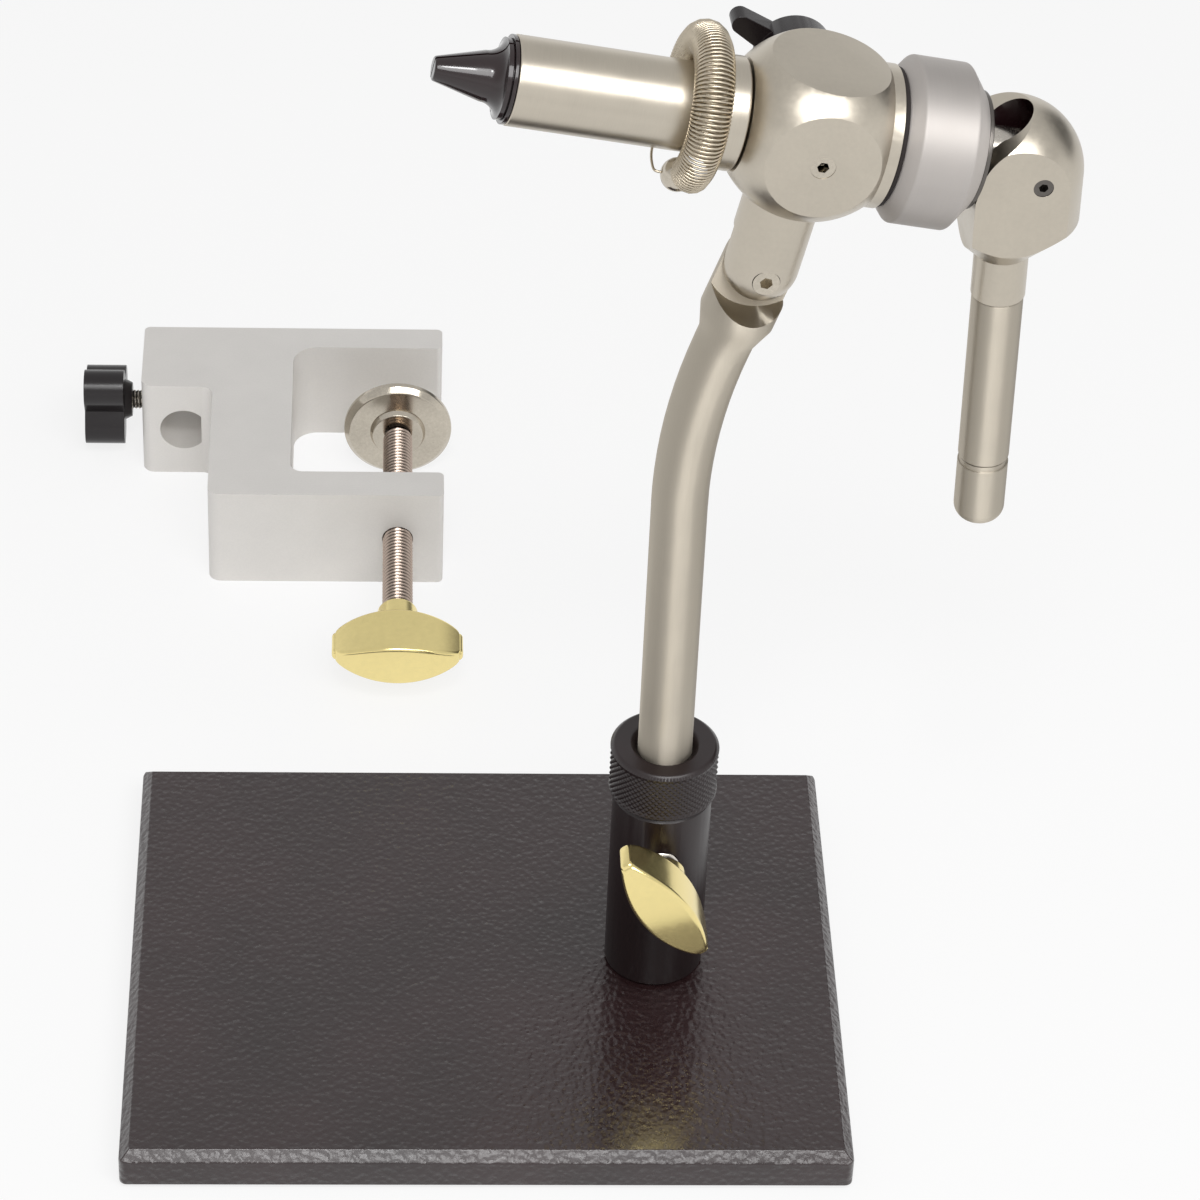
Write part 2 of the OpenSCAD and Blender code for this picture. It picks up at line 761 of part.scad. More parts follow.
module spring_hub() {
    r = hub_d / 2;
    bore = sleeve_d / 2 + press_fit;
    color("#c2bbb0") in_head() turned_x([
        [hub_s, bore], [hub_s, r - clear_gap], [hub_s + clear_gap, r],
        [hub_end_s - clear_gap, r], [hub_end_s, r - clear_gap], [hub_end_s, bore]
    ]);
}

// A point at a station, a radius and an angle that starts below and turns toward the viewer
function round_axis(s, r, a) = [s, r * sin(a), -r * cos(a)];

// The clip is one wire: from the catch it curls round the sleeve, then hooks back to the catch
module clip_spring() {
    curl_r = (curl_d - clip_wire_d) / 2;
    touch = catch_d / 2 + press_fit;
    stub = clip_wire_d;
    catch_at = round_axis(catch_s, ring_r, catch_turn);
    free = touch + stub + clip_wire_d / 2;
    clip_start = catch_turn + asin(sqrt(pow(free, 2) - pow(curl_r - catch_lead, 2)) / ring_r);
    steps = curl_count * 8 + 6;
    curls = [for (i = [0 : steps])
        let (c = i * 360 / 8 - 90, a = clip_start + (clip_end - clip_start) * i / steps)
        round_axis(ring_s - curl_r * sin(c), ring_r + curl_r * cos(c), a)];
    out = unit(curls[0] - catch_at);
    ahead = [1, 0, 0];
    hook = [for (p = hook_shares)
        round_axis(ring_s + p[0] * curl_d, ring_r - curl_r * (1 - p[1]),
                   clip_end + p[2] * (360 + catch_turn - clip_end))];
    wire = concat(
        [catch_at + touch * out, catch_at + (touch + stub) * out],
        [for (i = [1 : steps]) curls[i]],
        hook,
        [catch_at + (touch + stub) * ahead, catch_at + touch * ahead]
    );
    echo(clip_spring_least_gap = min([for (i = [0 : len(wire) - 1]) for (j = [i + 5 : 1 : len(wire) - 1])
        norm(wire[i] - wire[j])]) - clip_wire_d);
    color("#cdbfa6") in_head() wire_tube(wire, clip_wire_d / 2);
}

// The hook's points: forward by shares of the curl, outward and round by shares of the way to the catch
hook_shares = [
    [0.18, 0.02, 0.05], [0.42, 0.04, 0.17], [0.62, 0.07, 0.35], [0.74, 0.13, 0.56],
    [0.8, 0.35, 0.74], [0.8, 0.68, 0.88], [0.76, 0.95, 0.98]
];

module clip_catch() {
    color("#cfc6b6") in_head() translate(round_axis(catch_s, ring_r, catch_turn)) sphere(d = catch_d);
}

module drum_seal() {
    outer = band_d / 2 - clear_gap;
    inner = outer - 3 * seal_t;
    soft = seal_t / 4;
    color("#141313") in_head() turned_x([
        [drum_s, inner], [drum_s, outer - soft], [drum_s + soft, outer],
        [drum_s + seal_t - soft, outer], [drum_s + seal_t, outer - soft], [drum_s + seal_t, inner]
    ]);
}

module adjusting_drum() {
    tail = sleeve_bore / 2 + face_gap;
    bore = spindle_d / 2 + run_fit;
    wall_s = spindle_end_s - face_gap;
    color("#cfcac6") in_head() turned_x([
        [drum_s, bore], [drum_s, drum_front_d / 2],
        [drum_s - drum_front_bevel, drum_d / 2],
        [drum_end_s + drum_rear_bevel, drum_d / 2], [drum_end_s, drum_rear_d / 2],
        [drum_end_s, tail], [wall_s, tail], [wall_s, bore]
    ]);
}

module thrust_washer() {
    color("#121212") in_head() tube_x(washer_end_s, drum_end_s,
        drum_rear_d - 2 * face_gap, sleeve_bore + 2 * face_gap);
}

// Jaws

module collet() {
    flange_r = flange_d / 2;
    rim_r = rim_d / 2;
    root = jaw_root_d / 2;
    rim_s = flange_s + flange_t + face_gap;
    flare_s = rim_s + rim_t;
    tip_s = flange_s + jaw_l;
    color("#261a1b") in_head() difference() {
        turned_x(concat([
            [shank_end_s, 0], [shank_end_s, shank_d / 2],
            [flange_s - seat_l, shank_d / 2], [flange_s, seat_d / 2],
            [flange_s, flange_r - face_gap], [flange_s + face_gap, flange_r],
            [rim_s - 2 * face_gap, flange_r], [rim_s - face_gap, flange_r - face_gap],
            [rim_s - face_gap, rim_r - clear_gap], [rim_s, rim_r - clear_gap], [rim_s + clear_gap, rim_r]],
            [for (a = [0 : 15 : 90])
                [flare_s + flare_l * (1 - cos(a)), rim_r - (rim_r - root) * sin(a)]],
            [[tip_s - clear_gap, jaw_tip_d / 2], [tip_s, jaw_tip_d / 2 - clear_gap], [tip_s, 0]]
        ));
        rod_x(shank_end_s - over, shank_end_s + rod_tap_l + clear_gap, rod_d + 2 * press_fit);
        translate([shank_end_s + rod_tap_l + over, -slit_w / 2, -flange_r - over])
            cube([tip_s - shank_end_s - rod_tap_l, slit_w, 2 * (flange_r + over)]);
    }
}

module draw_rod() {
    color("#8d8880") in_head() difference() {
        union() {
            rod_x(tail_start_s, shank_end_s + rod_tap_l, rod_d);
            rod_x(pin_s, tail_start_s, tail_d);
            translate([pin_s, 0, 0]) sphere(d = tail_d);
        }
        translate([pin_s, 0, 0]) rod_y(-tail_d, tail_d, pin_d + 2 * run_fit);
    }
}

module return_spring() {
    start = web_s + face_gap;
    color("#9ea1a3") in_head() translate([start, 0, 0]) rotate([0, 90, 0])
        coil(spring_wire_d, (rod_d + sleeve_bore) / 2, shank_end_s - face_gap - start, spring_curls);
}

// Cam lever

// The head of the lever: a ball with two flats, a cam face, a taper and a shoulder
module cam_lever() {
    reach = lever_ball_d;
    half = lever_flat_w / 2;
    color("#b6ad9e") difference() {
        intersection() {
            union() {
                in_lever() {
                    sphere(d = lever_ball_d, $fn = 96);
                    translate([0, 0, -lever_straight_l])
                        cylinder(h = lever_straight_l, d = lever_ball_d);
                    translate([0, 0, -taper_end])
                        cylinder(h = lever_cone_l, d1 = shoulder_d, d2 = lever_ball_d);
                    translate([0, 0, -taper_end - shoulder_l]) cylinder(h = shoulder_l, d = shoulder_d);
                }
            }
            in_lever() translate([-reach, -half, -taper_end - shoulder_l])
                cube([2 * reach, 2 * half, taper_end + shoulder_l + reach]);
        }
        in_lever() translate([lever_front, -reach, -taper_end])
            cube([reach, 2 * reach, taper_end]);
        in_head() translate([pin_s, 0, 0]) {
            cam_waste();
            lever_pocket();
            rod_y(-reach, reach, pin_d + 2 * press_fit);
        }
        in_lever() translate([0, 0, -taper_end - shoulder_l - over])
            cylinder(h = over + spigot_l + clear_gap, d = spigot_d + 2 * press_fit);
    }
}

// What the cam's outline leaves off the ball, in front of the pin
module cam_waste() {
    reach = lever_ball_d;
    rise = lever_swing + swing_spare;
    rotate([90, 0, 0]) linear_extrude(height = 2 * reach, center = true) difference() {
        translate([0, -reach]) square([reach, 2 * reach]);
        translate([0, -cam_drop]) circle(r = cam_r, $fn = 160);
        polygon([[0, -cam_drop], [cam_r * cos(rise), cam_r * sin(rise) - cam_drop],
                 [0, cam_r / sin(rise) - cam_drop]]);
        translate([0, -reach - cam_r]) square([cam_r, reach + cam_r - cam_drop]);
    }
}

// The room that the draw rod's tail needs as the lever swings up
module lever_pocket() {
    reach = lever_ball_d;
    rise = lever_swing + swing_spare;
    sphere(d = pocket_d);
    for (a = [0, rise])
        rotate([0, -a, 0]) rod_x(0, reach, pocket_d);
    rotate([90, 0, 0]) linear_extrude(height = tail_d + 2 * run_fit, center = true)
        polygon([[0, 0], [reach, 0], [reach, reach * tan(rise / 2)],
                 [reach * cos(rise), reach * sin(rise)]]);
}

module cam_pin() {
    half = lever_flat_w / 2 - face_gap;
    color("#8b857b") in_head() translate([pin_s, -half, 0]) rotate([-90, 0, 0]) grub(pin_d, 2 * half);
}

module lever_handle() {
    top = taper_end + shoulder_l + face_gap;
    bevel = (shoulder_d - handle_d) / 2;
    color("#bab1a2") in_lever() {
        translate([0, 0, -top - handle_l]) difference() {
            rotate_extrude() polygon([[0, 0], [handle_d / 2 - bevel, 0], [handle_d / 2, bevel],
                [handle_d / 2, handle_l - bevel], [handle_d / 2 - bevel, handle_l], [0, handle_l]]);
            translate([0, 0, -over])
                cylinder(h = over + spigot_l + clear_gap, d = spigot_d + 2 * press_fit);
        }
        translate([0, 0, -top]) cylinder(h = spigot_l, d = spigot_d);
    }
}

module lever_cap() {
    top = taper_end + shoulder_l + face_gap + handle_l + face_gap;
    r = handle_d / 2;
    round_r = r * cap_round_share;
    bevel = (shoulder_d - handle_d) / 2;
    color("#bfb6a7") in_lever() translate([0, 0, -top]) {
        cylinder(h = spigot_l - face_gap, d = spigot_d);
        translate([0, 0, -groove_w]) cylinder(h = groove_w, r = r - bevel);
        translate([0, 0, -cap_l]) rotate_extrude() {
            translate([0, round_r]) square([r, cap_l - groove_w - round_r]);
            square([r - round_r, round_r + over]);
            intersection() {
                translate([r - round_r, round_r]) circle(r = round_r);
                square([r, round_r]);
            }
        }
    }
}

// Bench clamp

// The block that takes the stem, as wide as its bore needs; the rest of the casting is clamp_frame
module clamp_block() {
    middle = clamp_t / 2;
    color("#c8c5c0") in_clamp() difference() {
        linear_extrude(height = clamp_t) difference() {
            translate([0, clamp_h - block_h]) square([block_w - press_fit, block_h]);
            outside_round([0, clamp_h], [1, -1], clamp_corner / 2);
            outside_round([0, clamp_h - block_h], [1, 1], clamp_corner);
        }
        translate([bore_x, 0, middle]) rod_y(-over, clamp_h + over, stem_bore_d);
        translate([0, clamp_h - block_h / 2, middle]) rod_x(-over, bore_x, grub_d + 2 * press_fit);
    }
}

module clamp_outline() {
    inner_top = clamp_h - upper_jaw_t;
    spine_x = block_w + spine_w;
    difference() {
        union() {
            translate([block_w, 0]) square([spine_w, clamp_h]);
            translate([block_w, inner_top]) square([clamp_w - block_w, upper_jaw_t]);
            translate([block_w, 0]) square([clamp_w - block_w, lower_jaw_t]);
            inside_fillet([spine_x, inner_top], [1, -1], clamp_fillet);
            inside_fillet([spine_x, lower_jaw_t], [1, 1], clamp_fillet / 2);
            inside_fillet([block_w, clamp_h - block_h - press_fit], [-1, -1], clamp_fillet / 2);
        }
        outside_round([block_w, 0], [1, 1], clamp_corner);
        outside_round([clamp_w, clamp_h], [-1, -1], clamp_corner / 2);
        outside_round([clamp_w, inner_top], [-1, 1], clamp_corner / 2);
        outside_round([clamp_w, 0], [-1, 1], clamp_corner / 2);
        outside_round([clamp_w, lower_jaw_t], [-1, -1], clamp_corner / 2);
    }
}

// Fills an inside corner at a point; the way says which quarter is open
module inside_fillet(at, way, r) {
    translate(at) difference() {
        translate([min(0, way[0] * r), min(0, way[1] * r)]) square(r);
        translate([way[0] * r, way[1] * r]) circle(r = r);
    }
}

// Rounds an outside corner at a point; the way points into the metal
module outside_round(at, way, r) {
    translate(at) difference() {
        translate([way[0] > 0 ? -over : -r, way[1] > 0 ? -over : -r]) square(r + over);
        translate([way[0] * r, way[1] * r]) circle(r = r);
    }
}

module clamp_frame() {
    middle = clamp_t / 2;
    color("#c8c5c0") in_clamp() difference() {
        linear_extrude(height = clamp_t) clamp_outline();
        translate([screw_x, 0, middle]) rod_y(-over, lower_jaw_t + over, thumb_d + 2 * run_fit);
    }
}

lobe_gap = 2.4;
lobe_share = 0.42;
core_share = 0.46;

module clamp_lock_stud() {
    color("#9d9a94") in_clamp() translate([0, clamp_h - block_h / 2, clamp_t / 2])
        rod_x(-lobe_gap - lobe_knob_t + soft_edge, bore_x - stem_bore_d / 2 - face_gap, grub_d);
}

// A moulded knob with three lobes
module clamp_lock_knob() {
    lobe_d = lobe_knob_d * lobe_share;
    reach = (lobe_knob_d - lobe_d) / 2;
    core = lobe_knob_d * core_share;
    color("#1a1718") in_clamp() translate([-lobe_gap, clamp_h - block_h / 2, clamp_t / 2])
        rotate([0, -90, 0]) difference() {
            union() {
                translate([0, 0, soft_edge]) linear_extrude(height = lobe_knob_t - soft_edge) {
                    circle(d = core);
                    for (a = [90, 210, 330]) rotate([0, 0, a]) {
                        translate([0, -lobe_d / 2]) square([reach, lobe_d]);
                        translate([reach, 0]) circle(d = lobe_d);
                    }
                }
                cylinder(h = soft_edge, d1 = core - soft_edge, d2 = core);
            }
            translate([0, 0, -over])
                cylinder(h = over + lobe_knob_t - soft_edge + clear_gap, d = grub_d + 2 * press_fit);
        }
}

module at_clamp_screw() {
    in_clamp() translate([screw_x, 0, clamp_t / 2]) rotate([-90, 0, 0]) children();
}

module clamp_screw() {
    low = -screw_below - clamp_neck_l - knob_t / 2 + clear_gap;
    color("#b9b5ad") at_clamp_screw() {
        translate([0, 0, low]) cylinder(h = pad_y - pad_t - low - pad_rim, d = thumb_d);
        translate([0, 0, pad_y - pad_t - pad_rim]) cylinder(h = pad_t, d = pad_stem_d);
    }
}

module clamp_knob() {
    color("#e2c568") at_clamp_screw() translate([0, 0, -screw_below])
        rotate([180, 0, 0]) thumb_knob(clamp_neck_l);
}

module clamp_pad() {
    hole = pad_stem_d + 2 * run_fit;
    color("#d2cfc8") at_clamp_screw() translate([0, 0, pad_y - pad_t]) difference() {
        rotate_extrude() polygon([[0, 0], [pad_d / 2 - pad_t / 2, 0], [pad_d / 2, pad_t / 2],
            [pad_d / 2, pad_t], [0, pad_t]]);
        translate([0, 0, -over]) cylinder(h = over + pad_t - pad_rim + face_gap, d = hole);
    }
}

module pad_washer() {
    color("#e4e1da") at_clamp_screw() translate([0, 0, pad_y - pad_t - pad_rim])
        difference() {
            cylinder(h = pad_rim - face_gap / 2, d1 = pad_washer_d - pad_rim, d2 = pad_washer_d);
            translate([0, 0, -over]) cylinder(h = pad_rim + 2 * over, d = pad_stem_d + 2 * run_fit);
        }
}

base_plate();
base_sheet();
base_bolt();
socket_post();
side_set_screw();
post_thumb_stud();
post_thumb_knob();
height_collar();
collar_set_screw();
stem();
tilt_screw();
head_ball();
head_tongue();
front_bushing();
rear_bushing();
detent_screw();
detent_spring();
detent_ball();
brake_plug();
lock_stud();
lock_lever();
jaw_sleeve();
spring_hub();
clip_spring();
clip_catch();
drum_seal();
adjusting_drum();
thrust_washer();
collet();
draw_rod();
return_spring();
cam_lever();
cam_pin();
lever_handle();
lever_cap();
clamp_block();
clamp_frame();
clamp_lock_stud();
clamp_lock_knob();
clamp_screw();
clamp_knob();
clamp_pad();
pad_washer();
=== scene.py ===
"""Looks of the fly tying vise, laid out as an add-on and run as a script.

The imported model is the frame. Turned, knurled, wound and threaded pieces are made here as
surfaces worked out with numpy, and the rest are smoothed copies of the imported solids.
"""

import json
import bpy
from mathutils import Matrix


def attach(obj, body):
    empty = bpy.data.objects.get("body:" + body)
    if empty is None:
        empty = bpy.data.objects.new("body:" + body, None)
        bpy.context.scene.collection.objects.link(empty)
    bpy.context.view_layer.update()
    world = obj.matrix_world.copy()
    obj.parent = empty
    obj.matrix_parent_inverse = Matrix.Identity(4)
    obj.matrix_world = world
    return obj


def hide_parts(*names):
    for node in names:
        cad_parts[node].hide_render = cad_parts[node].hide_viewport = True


bl_info = {
    "name": "Fly tying vise",
    "version": (1, 0, 0),
    "blender": (4, 5, 0),
    "location": "View3D > Sidebar > Vise",
    "description": "Dresses the packed vise with its finished pieces, materials and stage",
    "category": "Add Mesh",
}

from types import SimpleNamespace

import bmesh
import bpy
import numpy as np
from mathutils import Matrix

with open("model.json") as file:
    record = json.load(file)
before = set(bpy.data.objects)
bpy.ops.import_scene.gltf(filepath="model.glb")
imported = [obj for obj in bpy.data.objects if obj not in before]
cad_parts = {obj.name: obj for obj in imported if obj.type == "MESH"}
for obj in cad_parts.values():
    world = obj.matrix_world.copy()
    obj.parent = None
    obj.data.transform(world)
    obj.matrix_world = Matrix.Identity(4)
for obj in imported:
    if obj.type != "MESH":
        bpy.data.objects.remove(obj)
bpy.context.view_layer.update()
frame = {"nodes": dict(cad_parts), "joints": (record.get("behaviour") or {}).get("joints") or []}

MM = 0.001
TURN = 2 * np.pi
# Millimetres by which a vertex may miss the station or radius that it is looked up by
HAIR = 0.01
# Metres within which vertices are one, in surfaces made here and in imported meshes
SAME, SAME_PACKED = 1e-7, 2e-6
# The values between which most of a noise lies
NOISE_LOW, NOISE_HIGH = 0.3, 0.7
JOINTS = {j["name"]: j for j in frame["joints"]}

# Places and axes


def unit(v):
    """The vector scaled to a length of one."""
    v = np.asarray(v, float)
    return v / np.linalg.norm(v)


def vertices(node):
    """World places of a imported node's vertices, as its mesh holds them."""
    mesh = frame["nodes"][node].data
    points = np.empty(len(mesh.vertices) * 3, np.float32)
    mesh.vertices.foreach_get("co", points)
    return points.reshape(-1, 3)


class Place:
    """A point and three square axes, for points given in local millimetres."""

    def __init__(self, origin, x, z):
        self.origin = np.asarray(origin, float)
        self.x = unit(x)
        self.y = unit(np.cross(z, self.x))
        self.z = np.cross(self.x, self.y)

    def at(self, points):
        """World metres of local millimetre points of any array shape (..., 3)."""
        points = np.asarray(points, float) * MM
        return self.origin + points @ np.stack([self.x, self.y, self.z])

    def moved(self, x=0.0, y=0.0, z=0.0):
        """The same axes at another local point."""
        return Place(self.at([x, y, z]), self.x, self.z)

    def measure(self, node):
        """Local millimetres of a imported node's vertices."""
        return (vertices(node) - self.origin) @ np.stack([self.x, self.y, self.z]).T / MM

    def span(self, node):
        """Lowest and highest station of a node along the first axis."""
        s = self.measure(node)[:, 0]
        return float(s.min()), float(s.max())

    def reach(self, node, low=-np.inf, high=np.inf):
        """Largest radius of a node about the first axis between two stations."""
        p = self.measure(node)
        p = p[(p[:, 0] >= low) & (p[:, 0] <= high)]
        return float(np.hypot(p[:, 1], p[:, 2]).max())

    def extent(self, node):
        """Lowest and highest station of a node, and its largest radius."""
        return (*self.span(node), self.reach(node))


UP = np.array([0.0, 0.0, 1.0])
RIGHT = np.array([1.0, 0.0, 0.0])

# The head's axis points at the jaws; its second axis points at the viewer
head_axis = np.array(JOINTS["head_rotation"]["axis"])
head_side = -np.array(JOINTS["lock_lever_turn"]["axis"])
HEAD = Place(JOINTS["head_rotation"]["pos_m"], head_axis, np.cross(head_axis, head_side))
POST = Place(np.array(JOINTS["stem_swivel"]["pos_m"]) * [1, 1, 0], UP, RIGHT)
THUMB, CLAMP_SCREW, CLAMP_LOCK = (
    Place(JOINTS[name]["pos_m"], JOINTS[name]["axis"], UP)
    for name in ("post_thumb_screw_turn", "clamp_screw_turn", "clamp_lock_screw_turn"))


def corners(node):
    """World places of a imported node's vertices, each counted once."""
    return np.unique(vertices(node).round(7), axis=0).astype(float)


def long_way(node, across=None):
    """Direction in which a node's vertices spread most, square to a given direction."""
    points = corners(node) - corners(node).mean(0)
    if across is not None:
        points = points - np.outer(points @ across, across)
    return np.linalg.svd(points, full_matrices=False)[2][0]


# The handle's axis points down, away from the lever's head
handle_way = long_way("lever_handle")
handle_way = handle_way * -np.sign(handle_way[2])
HANDLE = Place(corners("lever_handle").mean(0), handle_way, head_side)

# Settings


def linear(code):
    """Linear colour of an sRGB hex code."""
    c = np.array([int(code[i:i + 2], 16) for i in (1, 3, 5)]) / 255
    c = np.where(c <= 0.04045, c / 12.92, ((c + 0.055) / 1.055) ** 2.4)
    return (*c.tolist(), 1.0)


def length(name, description, millimetres):
    """A size property, shown in the scene's units."""
    return bpy.props.FloatProperty(name=name, description=description, min=0.0,
                                   default=millimetres * MM, unit="LENGTH", precision=5)


def colour(name, description, code):
    """A colour property."""
    return bpy.props.FloatVectorProperty(name=name, description=description, size=4,
                                         subtype="COLOR", default=linear(code), min=0.0, max=1.0)


def share(name, description, value):
    """A property between nothing and all."""
    return bpy.props.FloatProperty(name=name, description=description, default=value,
                                   min=0.0, max=1.0, subtype="FACTOR")


def level(name, description, value):
    """A strength or a power."""
    return bpy.props.FloatProperty(name=name, description=description, default=value, min=0.0)


def count(name, description, value):
    """A number of copies or turns."""
    return bpy.props.IntProperty(name=name, description=description, default=value, min=1)


class ViseFinishes(bpy.types.PropertyGroup):
    """Colours of the vise's finishes."""

    nickel: colour("Satin nickel", "Stem, ball, sleeve and lever", "#c5bdaf")
    aluminium: colour("Turned aluminium", "Adjusting drum", "#c7c2be")
    casting: colour("Clamp casting", "Blasted aluminium of the clamp", "#e6e3df")
    bright: colour("Bright steel", "Screws and studs", "#cac4bb")
    dark_steel: colour("Oiled steel", "Socket screws", "#6a6662")
    thread_steel: colour("Threaded steel", "Clamp screw", "#a09186")
    brass: colour("Brass", "Thumb knobs", "#f2e09e")
    wire: colour("Spring wire", "Spring ring and its hook", "#c4b9a6")
    paint: colour("Hammered paint", "Base plate", "#271819")
    black: colour("Black steel", "Post and collar", "#1e1213")
    oxide: colour("Black oxide", "Collet jaws", "#1e0f11")
    plastic: colour("Black moulding", "Lock lever and lobed knob", "#181214")
    rubber: colour("Rubber", "Base sheet and seal", "#1d1615")
    nylon: colour("Nylon", "Brake plug", "#e6e2d6")
    bronze: colour("Bearing bronze", "Bushings", "#a9824c")
    floor: colour("Floor", "Bench top under the vise", "#f7f7f7")


class ViseBody(bpy.types.PropertyGroup):
    """Sizes of the base, post, collar, stem, thumb screws and clamp."""

    edge: length("Edge", "Rounding of machined edges", 0.25)
    plate_edge: length("Plate edge", "Rounding of the base's edges", 0.4)
    lock_edge: length("Lock edge", "Rounding of the lock lever's edges", 0.4)
    cast_edge: length("Cast edge", "Rounding of the casting and the lobed knob", 0.8)
    fine_edge: length("Fine edge", "Rounding of the clamp's pad and the lever's cap", 0.2)
    ring_edge: length("Ring edge", "Rounding of the pad's ring", 0.15)
    chamfer: length("Collar chamfer", "Chamfer at the collar's ends", 0.7)
    knurl_pitch: length("Knurl pitch", "Distance between the knurl's ridges", 1.15)
    knurl_depth: length("Knurl depth", "Height of the knurl's diamonds", 0.28)
    knurl_band: length("Knurl border", "Plain band at the collar's ends", 0.8)
    knob_l: length("Knob length", "Length of a brass thumb knob", 25.4)
    knob_w: length("Knob width", "Thickness of a thumb knob at its middle", 9.0)
    knob_tip: length("Knob tip", "Thickness of a thumb knob at its tips", 2.4)
    knob_edge: length("Knob edge", "Rounding of a thumb knob's edges", 0.7)
    knob_body: length("Knob body", "Packed length of a thumb knob's body along its screw", 8.6)
    post_knob: length("Post knob", "Depth of the post's knob at its middle", 8.6)
    post_knob_tip: length("Post knob tip", "Depth of the post's knob at its tips", 5.6)
    clamp_knob: length("Clamp knob", "Depth of the clamp's knob at its middle", 12.4)
    clamp_knob_tip: length("Clamp knob tip", "Depth of the clamp's knob at its tips", 6.0)
    thread_pitch: length("Thread pitch", "Pitch of the thumb screws", 1.0)
    thread_depth: length("Thread depth", "Depth of the thumb screws' threads", 0.6)
    fine_pitch: length("Fine pitch", "Pitch of the clamp's lock screw", 0.7)
    fine_depth: length("Fine depth", "Depth of the lock screw's thread", 0.3)
    screw_end: length("Screw end", "How far the clamp screw is drawn short of its neck", 2.4)
    spigot: length("Spigot", "Length of the spigots of the handle and its cap", 6.0)
    dome: length("Cap dome", "Rounding of the end cap", 2.8)
    groove: length("Cap groove", "Depth of the cap's groove and the handle's chamfers", 0.3)
    groove_w: length("Cap groove width", "Width of the groove above the end cap", 0.9)


class ViseHead(bpy.types.PropertyGroup):
    """Sizes of the pieces on the head's axis. A bore is given by its radius."""

    edge: length("Edge", "Rounding of turned edges", 0.3)
    hub_edge: length("Hub edge", "Rounding of the spring's hub", 0.45)
    thin_edge: length("Thin edge", "Rounding of the washer's edges", 0.15)
    bore: length("Sleeve bore", "Radius of the sleeve's bore", 4.6)
    web_bore: length("Web bore", "Radius of the hole through the sleeve's web", 2.7)
    web_l: length("Web", "Thickness of the web in the sleeve", 4.0)
    web_gap: length("Web gap", "From the hub back to the web", 2.4)
    seat: length("Seat", "Radius of the seat's mouth", 6.05)
    seat_l: length("Seat length", "Length of the seat's taper", 4.2)
    curl: length("Curl", "Outside diameter of the spring ring's curls", 6.5)
    curls: count("Curls", "Curls of wire in the spring ring", 84)
    wire: length("Wire", "Diameter of the spring ring's wire", 0.44)
    ring_gap: length("Ring gap", "Room between the spring ring and the sleeve", 0.3)
    hub_gap: length("Hub gap", "Room between the spring ring and its hub", 0.1)
    ring_end: bpy.props.FloatProperty(name="Ring end", default=np.radians(315), subtype="ANGLE",
                                      description="Where the curls end, round from below")
    drum_bore: length("Drum bore", "Radius of the drum's front bore", 6.08)
    drum_tail: length("Drum tail", "Radius of the bore in the drum's floor", 4.7)
    drum_floor: length("Drum floor", "Thickness of the drum's floor", 2.0)
    rear_bevel: length("Rear bevel", "Length of the drum's rear bevel", 3.0)
    front_bevel: length("Front bevel", "Length of the drum's front bevel", 2.0)
    seal_w: length("Seal width", "Width of the rubber seal", 2.4)
    washer_bore: length("Washer bore", "Radius of the thrust washer's bore", 4.8)
    slit: length("Slit", "Width of the slit between the collet's jaws", 0.4)
    shank: length("Shank", "Radius of the collet's shank", 4.52)
    shank_l: length("Shank length", "Length of the shank behind the slit", 6.0)
    jaw_seat: length("Jaw seat", "Radius of the jaws where they leave the seat", 5.95)
    flange_gap: length("Flange gap", "Room between the sleeve and the collet's flange", 0.1)
    flange_l: length("Flange", "Thickness of the flange", 0.7)
    rim: length("Rim", "Radius of the rim in front of the flange", 6.45)
    rim_l: length("Rim length", "Length of the rim", 0.8)
    rim_edge: length("Rim edge", "Rounding of the rim", 0.3)
    relief: length("Relief", "Length of the step between flange and rim", 0.1)
    jaw_edge: length("Jaw edge", "Rounding of the flange's edges", 0.12)
    flare_l: length("Flare", "Length of the curve from the rim to the cone", 2.8)
    root: length("Root", "Radius of the cone at its root", 4.0)
    tip: length("Tip", "Radius of the cone at its tip", 1.9)


class ViseStage(bpy.types.PropertyGroup):
    """Floor, light and camera."""

    floor_width: length("Floor", "Width of the floor", 6000.0)
    white: share("White", "How much of the floor shows plain white", 0.8)
    world: level("World", "Light that the surroundings give", 0.55)
    high: share("Ceiling", "Brightness of the surroundings above, against the horizon", 0.68)
    dim: share("Dim side", "Brightness of the surroundings behind on the right", 0.1)
    key: level("Key lamp", "Power of the large lamp, in watts", 7.2)
    small: level("Small lamp", "Power of the lamp that glints in polished pieces, in watts", 1.2)


def sizes(group):
    """The group's lengths in millimetres and its other values as they are."""
    out = SimpleNamespace()
    for key, prop in group.bl_rna.properties.items():
        if key not in ("rna_type", "name"):
            value = getattr(group, key)
            setattr(out, key, value / MM if prop.type == "FLOAT" and prop.unit == "LENGTH" else value)
    return out


# Surfaces


def rounded(points, radius, steps=4):
    """An open outline with each inner corner swapped for a curve.

    The curve is the quadratic one that starts and ends one radius from the corner, or less
    where a side is short. A point just outside each end of it keeps the shading of the
    straight part flat.
    """
    longest, outside = 0.4, 1.2
    points = np.array(points, float)
    t = np.linspace(0, 1, steps + 1)[:, None]
    out = [points[:1]]
    for a, b, c in zip(points[:-2], points[1:-1], points[2:]):
        before, after = np.linalg.norm(a - b), np.linalg.norm(c - b)
        cut = min(radius, before * longest, after * longest)
        way_a, way_c = (a - b) / before, (c - b) / after
        start, end = b + way_a * cut, b + way_c * cut
        curve = (1 - t) ** 2 * start + 2 * t * (1 - t) * b + t ** 2 * end
        out += [[b + way_a * cut * outside], curve, [b + way_c * cut * outside]]
    return np.concatenate(out + [points[-1:]])


